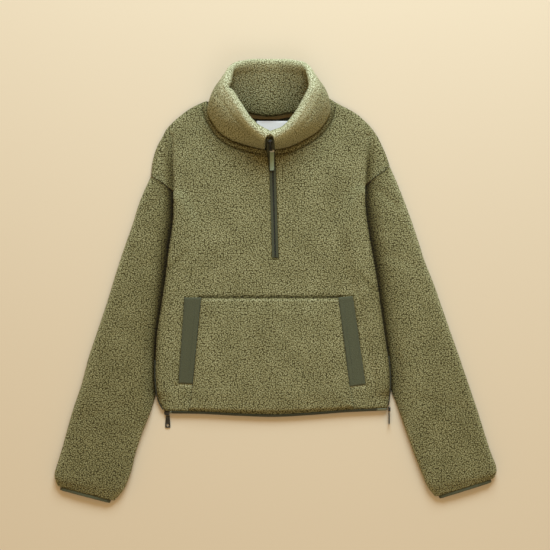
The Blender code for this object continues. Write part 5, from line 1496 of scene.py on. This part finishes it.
def worn_group():
    """Wear on a finish: slow clouds and fine scratches that change colour and roughness."""
    group, given, out = new_group("handled finish", (
        ("Vector", "NodeSocketVector", None),
        ("Base colour", "NodeSocketColor", (0.1, 0.1, 0.1, 1)),
        ("Worn colour", "NodeSocketColor", (0.3, 0.3, 0.3, 1)),
        ("Roughness", "NodeSocketFloat", 0.4)),
        (("Colour", "NodeSocketColor"), ("Roughness", "NodeSocketFloat"),
         ("Height", "NodeSocketFloat")))
    place = given.outputs["Vector"]
    cloud = noise(group, place, 260.0, 4.0)
    grain = noise(group, place, 2600.0, 3.0)
    wear = mapped(group, cloud, 0.48, 0.74)
    wear = calc(group, "MULTIPLY", wear, mapped(group, grain, 0.35, 0.65), clamp=True)
    group.links.new(mix_colour(group, wear, given.outputs["Base colour"],
                               given.outputs["Worn colour"]), out.inputs["Colour"])
    rough = calc(group, "ADD", given.outputs["Roughness"],
                 calc(group, "MULTIPLY", calc(group, "SUBTRACT", cloud, 0.5), 0.35))
    group.links.new(rough, out.inputs["Roughness"])
    group.links.new(grain, out.inputs["Height"])
    return group


def coloured(colour, factor=1.0):
    return (*(min(1.0, part * factor) for part in colour), 1.0)


def finish_with(name, group, values, vector, bump, relief, **sockets):
    """Material: a group's colour and height into the shader, fixed numbers on its sockets."""
    material = bpy.data.materials.new(name)
    material.use_nodes = True
    tree = material.node_tree
    shader = tree.nodes["Principled BSDF"]
    for label, value in sockets.items():
        shader.inputs[label.replace("_", " ")].default_value = value
    if vector == "cloth":
        place = node(tree, "ShaderNodeUVMap", uv_map="cloth").outputs["UV"]
    else:
        place = node(tree, "ShaderNodeTexCoord").outputs["Object"]
    made = node(tree, "ShaderNodeGroup", node_tree=group)
    tree.links.new(place, made.inputs["Vector"])
    # Painted shade and painted highlights kept on the mesh feed the group's Tone.
    if "Tone" in made.inputs:
        painted_shading = node(tree, "ShaderNodeAttribute", attribute_name="painted_light_and_shade")
        tree.links.new(painted_shading.outputs["Fac"], made.inputs["Tone"])
    for label, value in values.items():
        made.inputs[label].default_value = value
    tree.links.new(made.outputs["Colour"], shader.inputs["Base Color"])
    if "Roughness" in made.outputs:
        tree.links.new(made.outputs["Roughness"], shader.inputs["Roughness"])
    height = node(tree, "ShaderNodeBump", [("Height", made.outputs["Height"]),
                                           ("Strength", bump), ("Distance", relief)])
    tree.links.new(height.outputs["Normal"], shader.inputs["Normal"])
    return material


def fleece_finish(name, factor=1.0):
    scene = bpy.context.scene
    colours = scene.fleece_colours
    return finish_with(name, shared("curly pile", curly_pile_group), {
        "Clump scale": scene.fleece_sizes.clump_scale,
        "Pit colour": coloured(colours.pile_pit, factor),
        "Pile colour": coloured(colours.pile, factor),
        "Tip colour": coloured(colours.pile_tip, factor)}, "cloth", 0.8, 0.0020,
        Roughness=0.92, Sheen_Weight=0.18, Sheen_Roughness=0.5, Sheen_Tint=(0.62, 0.60, 0.36, 1.0),
        Specular_IOR_Level=0.12)


def woven_finish(name, factor=1.0, thread=0.0011, slope=1.0, vector="cloth"):
    colours = bpy.context.scene.fleece_colours
    return finish_with(name, shared("fine twill", twill_group), {
        "Thread": thread, "Slope": slope, "Deep colour": coloured(colours.woven, 0.45 * factor),
        "Cloth colour": coloured(colours.woven, 1.25 * factor)}, vector, 0.55, 0.0005,
        Roughness=0.78, Sheen_Weight=0.12, Sheen_Roughness=0.5, Specular_IOR_Level=0.25)


def handled_finish(name, colour, worn, rough, metallic):
    return finish_with(name, shared("handled finish", worn_group), {
        "Base colour": coloured(colour), "Worn colour": coloured(worn), "Roughness": rough},
        "object", 0.08, 0.0002, Metallic=metallic)


def shared(name, build):
    """A node group made once and used by each material that asks for it."""
    return bpy.data.node_groups.get(name) or build()


def material_of(name, build, *values, **named):
    return bpy.data.materials.get(name) or build(name, *values, **named)


def pile_material():
    return material_of("olive curly pile", fleece_finish)


def twill_material():
    return material_of("olive twill", woven_finish)


def gunmetal_material():
    return material_of("dark gunmetal", handled_finish, (0.05, 0.05, 0.045), (0.17, 0.165, 0.15),
                       0.36, 0.9)


def coated_material():
    colour = tuple(bpy.context.scene.fleece_colours.coated)
    return material_of("coated pull", handled_finish, colour, tuple(1.35 * c for c in colour),
                       0.42, 0.35)


def coil_material():
    return material_of("dark coil", handled_finish, (0.012, 0.014, 0.008), (0.036, 0.040, 0.024),
                       0.45, 0.0)


def thread_material():
    return material_of("stitching thread", woven_finish, 1.05, 0.0005, 1.0, "object")


def zip_tape_material():
    return material_of("zip tape twill", woven_finish, 0.80, 0.0008, 0.0)


def tape_end_finish(name):
    colour = bpy.context.scene.fleece_colours.tape_end
    return finish_with(name, shared("fine twill", twill_group), {
        "Thread": 0.0009, "Slope": 0.0, "Deep colour": coloured(colour, 0.7),
        "Cloth colour": coloured(colour, 1.1)}, "cloth", 0.4, 0.0004, Roughness=0.8)


def label_finish(name):
    colour = bpy.context.scene.fleece_colours.label
    return finish_with(name, shared("fine twill", twill_group), {
        "Thread": 0.0007, "Slope": 0.25, "Deep colour": coloured(colour, 0.86),
        "Cloth colour": coloured(colour, 1.02)}, "cloth", 0.25, 0.0003, Roughness=0.62,
        Sheen_Weight=0.2)


def floor_finish():
    """Matt surface: a flat tan with a very slight cloudiness."""
    material = bpy.data.materials.new("plain surface")
    material.use_nodes = True
    tree = material.node_tree
    colour = bpy.context.scene.fleece_colours.surface
    place = node(tree, "ShaderNodeTexCoord").outputs["Object"]
    tone = mix_colour(tree, noise(tree, place, 1.3, 1.0), coloured(colour, 0.985),
                      coloured(colour, 1.015))
    tree.links.new(tone, tree.nodes["Principled BSDF"].inputs["Base Color"])
    tree.nodes["Principled BSDF"].inputs["Roughness"].default_value = 0.9
    tree.nodes["Principled BSDF"].inputs["Specular IOR Level"].default_value = 0.1
    return material


class FleeceSizes(bpy.types.PropertyGroup):
    """Sizes of the finish that a user would change."""
    pile_relief: bpy.props.FloatProperty(
        name="Pile relief", description="Height of a curl clump above the hollow beside it",
        default=0.0007, min=0.0, max=0.004, unit="LENGTH")
    clump_scale: bpy.props.FloatProperty(
        name="Clumps a metre", description="How many curl clumps lie along a metre",
        default=385.0, min=60.0, max=900.0)
    camera_height: bpy.props.FloatProperty(
        name="Camera height", description="Height of the camera over the surface",
        default=2.3, min=0.8, max=6.0, unit="LENGTH")
    view_width: bpy.props.FloatProperty(
        name="View width", description="Width of the surface that the camera sees",
        default=0.99, min=0.3, max=3.0, unit="LENGTH")


def colour_property(name, description, default):
    return bpy.props.FloatVectorProperty(name=name, description=description, subtype="COLOR",
                                         size=3, min=0.0, max=1.0, default=default)


class FleeceColours(bpy.types.PropertyGroup):
    """Colours of the cloths, the metal and the surface."""
    pile: colour_property("Pile", "Curly pile between its pits and tips", (0.205, 0.195, 0.082))
    pile_pit: colour_property("Pile pits", "Shaded hollows between clumps",
                              (0.046, 0.040, 0.014))
    pile_tip: colour_property("Pile tips", "Pale ends of the curls", (0.46, 0.455, 0.265))
    woven: colour_property("Woven edge", "Bindings, welts and zip tapes", (0.080, 0.088, 0.045))
    tape_end: colour_property("Tape ends", "Pale tape ends at the hem", (0.17, 0.19, 0.12))
    coated: colour_property("Coated metal", "Painted pulls", (0.24, 0.33, 0.24))
    label: colour_property("Label", "Blank woven label", (0.70, 0.66, 0.60))
    surface: colour_property("Surface", "Plain floor under the garment", (0.633, 0.540, 0.383))


class FleecePiece:
    """Shared by the operators: each makes its pieces in the open scene."""
    bl_options = {"REGISTER", "UNDO"}

    def execute(self, context):
        self.make(context)
        return {"FINISHED"}


class FLEECE_OT_panels(FleecePiece, bpy.types.Operator):
    """Front and back body panels with curly pile"""
    bl_idname = "fleece.panels"
    bl_label = "Body panels"

    def make(self, context):
        front = piece(front_panel(), pile_material(), ["front_body"])
        back = piece(back_panel(), pile_material(), ["back_body"])


class FLEECE_OT_sleeves(FleecePiece, bpy.types.Operator):
    """Both sleeves, flattened tubes of curly pile"""
    bl_idname = "fleece.sleeves"
    bl_label = "Sleeves"

    def make(self, context):
        for side, rows, seam, armhole in (("left", SLEEVE_LEFT, SIDE_LEFT, ARMHOLE_LEFT),
                                          ("right", SLEEVE_RIGHT, SIDE_RIGHT, ARMHOLE_RIGHT)):
            item = piece(sleeve(side, rows, seam, armhole), pile_material(),
                         ["sleeve_" + side])


class FLEECE_OT_collar(FleecePiece, bpy.types.Operator):
    """Stand collar, a band folded double"""
    bl_idname = "fleece.collar"
    bl_label = "Collar"

    def make(self, context):
        item = piece(collar_band(), pile_material(), ["collar"])


class FLEECE_OT_pocket(FleecePiece, bpy.types.Operator):
    """Front pocket with its two woven welts"""
    bl_idname = "fleece.pocket"
    bl_label = "Pocket and welts"

    def make(self, context):
        patch = piece(pocket_panel(), pile_material(), ["pocket_panel"])
        for side, corners, mirror in (("left", TRIM_LEFT, False), ("right", TRIM_RIGHT, True)):
            mesh, ring = welt("welt_" + side, corners, mirror)
            item = piece(mesh, twill_material(), ["pocket_trim_" + side])
            thread = thread_material()
            for row, share in (("outer", 0.085), ("inner", 0.70)):
                top = ring[0] + share * (ring[1] - ring[0])
                low = ring[3] + share * (ring[2] - ring[3])
                top, low = top + 0.02 * (low - top), low + 0.02 * (top - low)
                centres, way = stitch_row([top, low], lambda x, y: front_top(x, y) + 0.00215)
                name = "welt_stitches_" + side + "_" + row
                piece(strewn(name, centres, way, PLAN_AXES[2], STITCH), thread)


class FLEECE_OT_edges(FleecePiece, bpy.types.Operator):
    """Woven edges of the hem and cuffs, and the pale tape ends"""
    bl_idname = "fleece.edges"
    bl_label = "Hem and cuff edges"

    def make(self, context):
        for name, start, stop, side in (("hem_edge_front", 0.0340, 0.9500, 1),
                                        ("hem_edge_back", 0.0300, 0.9950, -1)):
            node_name = name.replace("edge", "binding")
            shaded = material_of("shaded binding", woven_finish, 0.55)
            item = piece(hem_edge(name, start, stop, side), shaded,
                         [node_name])
        pale = material_of("pale tape", tape_end_finish)
        for side, start, stop in (("right", 0.9515, 0.9950), ("left", 0.0270, 0.0330)):
            piece(hem_edge("tape_end_" + side, start, stop, 1), pale,
                  ["hem_tab_" + side])
        for side, rows in (("left", SLEEVE_LEFT), ("right", SLEEVE_RIGHT)):
            item = piece(cuff_edge("cuff_edge_" + side, rows[-1], rows[-3]), twill_material(),
                         ["cuff_binding_" + side])


class FLEECE_OT_front_zip(FleecePiece, bpy.types.Operator):
    """Front zip: tapes, coil and slider"""
    bl_idname = "fleece.front_zip"
    bl_label = "Front zip"

    def make(self, context):
        half, inner = 0.5 * ZIP_WIDTH - SEAM_GAP, 0.5 * CHAIN_WIDTH + SEAM_GAP
        woven = zip_tape_material()
        piece(tape("tape_left", -half, -inner), woven, ["zip_tape_left"])
        piece(tape("tape_right", inner, half), woven, ["zip_tape_right"])
        piece(zip_teeth_mesh(), coil_material(), ["zip_chain"])
        piece(front_slider(), gunmetal_material(), ["zip_slider"])


class FLEECE_OT_front_pull(FleecePiece, bpy.types.Operator):
    """Front pull: link, crimp, tab and rim, which turn at the slider"""
    bl_idname = "fleece.front_pull"
    bl_label = "Front pull"

    def make(self, context):
        piece(pull_link(), gunmetal_material(), ["zip_pull_link"], "front_pull")
        piece(pull_tab(), coated_material(), ["zip_pull_tab"], "front_pull")
        piece(tab_rim(), gunmetal_material(), (), "front_pull")
        crimp = material_of("pale crimp", handled_finish, (0.42, 0.42, 0.36), (0.6, 0.6, 0.55),
                            0.35, 0.6)
        piece(tab_crimp(), crimp, (), "front_pull")


class FLEECE_OT_side_zips(FleecePiece, bpy.types.Operator):
    """Side hem zips: tapes, coils, sliders and holed pulls"""
    bl_idname = "fleece.side_zips"
    bl_label = "Side zips"

    def make(self, context):
        for each in SIDE_ZIPS:
            run = (each.seam, each.start_y, each.hand)
            piece(side_tape("side_tape_" + each.side, *run), zip_tape_material(),
                  ["side_zip_" + each.side])
            piece(side_coil("side_coil_" + each.side, *run), coil_material())
        metal = gunmetal_material()
        for each in SIDE_ZIPS:
            piece(side_slider("hem_slider_" + each.side, each.slider, each.facing, each.size),
                  metal, ["side_slider_" + each.side])
            start = (each.slider[0] + each.pull_shift,
                     each.slider[1] - 0.5 * each.size[1] - SIDE_PULL_GAP, each.pull_height)
            piece(holed_pull("hem_pull_" + each.side, start, each.facing), metal,
                  ["side_pull_" + each.side], each.side + "_pull")


class FLEECE_OT_label(FleecePiece, bpy.types.Operator):
    """Blank label sewn inside the back neck"""
    bl_idname = "fleece.label"
    bl_label = "Blank label"

    def make(self, context):
        item = piece(label_patch(), material_of("blank satin label", label_finish),
                     ["neck_label"])


class FLEECE_OT_stage(FleecePiece, bpy.types.Operator):
    """Plain surface, soft light and the camera straight above"""
    bl_idname = "fleece.stage"
    bl_label = "Stage"

    def make(self, context):
        scene = context.scene
        sizes = scene.fleece_sizes
        scene.view_settings.view_transform = "Standard"
        mesh = bpy.data.meshes.new("floor")
        mesh.from_pydata([(x * FLOOR_REACH, y * FLOOR_REACH, FLOOR_TOP)
                          for x, y in ((-1, -1), (1, -1), (1, 1), (-1, 1))], [], [(0, 1, 2, 3)])
        floor = bpy.data.objects.new("floor", mesh)
        context.collection.objects.link(floor)
        mesh.materials.append(floor_finish())
        for each in LAMPS:
            data = bpy.data.lights.new(each.name, "AREA")
            data.shape, data.size, data.energy = "DISK", each.size, each.power
            data.color = LAMP_COLOUR
            lamp = bpy.data.objects.new(each.name, data)
            context.collection.objects.link(lamp)
            lamp.location = each.place
            lamp.rotation_euler = (-Vector(each.place)).to_track_quat("-Z", "Y").to_euler()
        world = bpy.data.worlds.new("soft room")
        world.use_nodes = True
        back = world.node_tree.nodes["Background"]
        back.inputs["Color"].default_value = WORLD_COLOUR
        back.inputs["Strength"].default_value = WORLD_STRENGTH
        scene.world = world
        data = bpy.data.cameras.new("camera")
        data.sensor_width, data.sensor_fit = 36.0, "HORIZONTAL"
        data.lens = data.sensor_width * sizes.camera_height / sizes.view_width
        camera = bpy.data.objects.new("camera", data)
        context.collection.objects.link(camera)
        camera.location = (*CAMERA_SPOT, sizes.camera_height)
        scene.camera = camera


class FLEECE_PT_panel(bpy.types.Panel):
    """Buttons for the pieces and the stage"""
    bl_label = "Laid fleece"
    bl_idname = "FLEECE_PT_panel"
    bl_space_type = "VIEW_3D"
    bl_region_type = "UI"
    bl_category = "Fleece"

    def draw(self, context):
        for values in (context.scene.fleece_sizes, context.scene.fleece_colours):
            for key in values.__annotations__:
                self.layout.prop(values, key)
        for step in STEPS:
            self.layout.operator(step.bl_idname)


STEPS = (FLEECE_OT_stage, FLEECE_OT_panels, FLEECE_OT_sleeves, FLEECE_OT_collar,
         FLEECE_OT_pocket, FLEECE_OT_edges, FLEECE_OT_front_zip, FLEECE_OT_front_pull,
         FLEECE_OT_side_zips, FLEECE_OT_label)
CLASSES = (FleeceSizes, FleeceColours, *STEPS, FLEECE_PT_panel)


def register():
    for item in CLASSES:
        bpy.utils.register_class(item)
    bpy.types.Scene.fleece_sizes = bpy.props.PointerProperty(type=FleeceSizes)
    bpy.types.Scene.fleece_colours = bpy.props.PointerProperty(type=FleeceColours)


def unregister():
    del bpy.types.Scene.fleece_sizes
    del bpy.types.Scene.fleece_colours
    for item in reversed(CLASSES):
        bpy.utils.unregister_class(item)


def main():
    register()
    for step in STEPS:
        family, action = step.bl_idname.split(".")
        getattr(getattr(bpy.ops, family), action)()


if __name__ == "__main__":
    main()
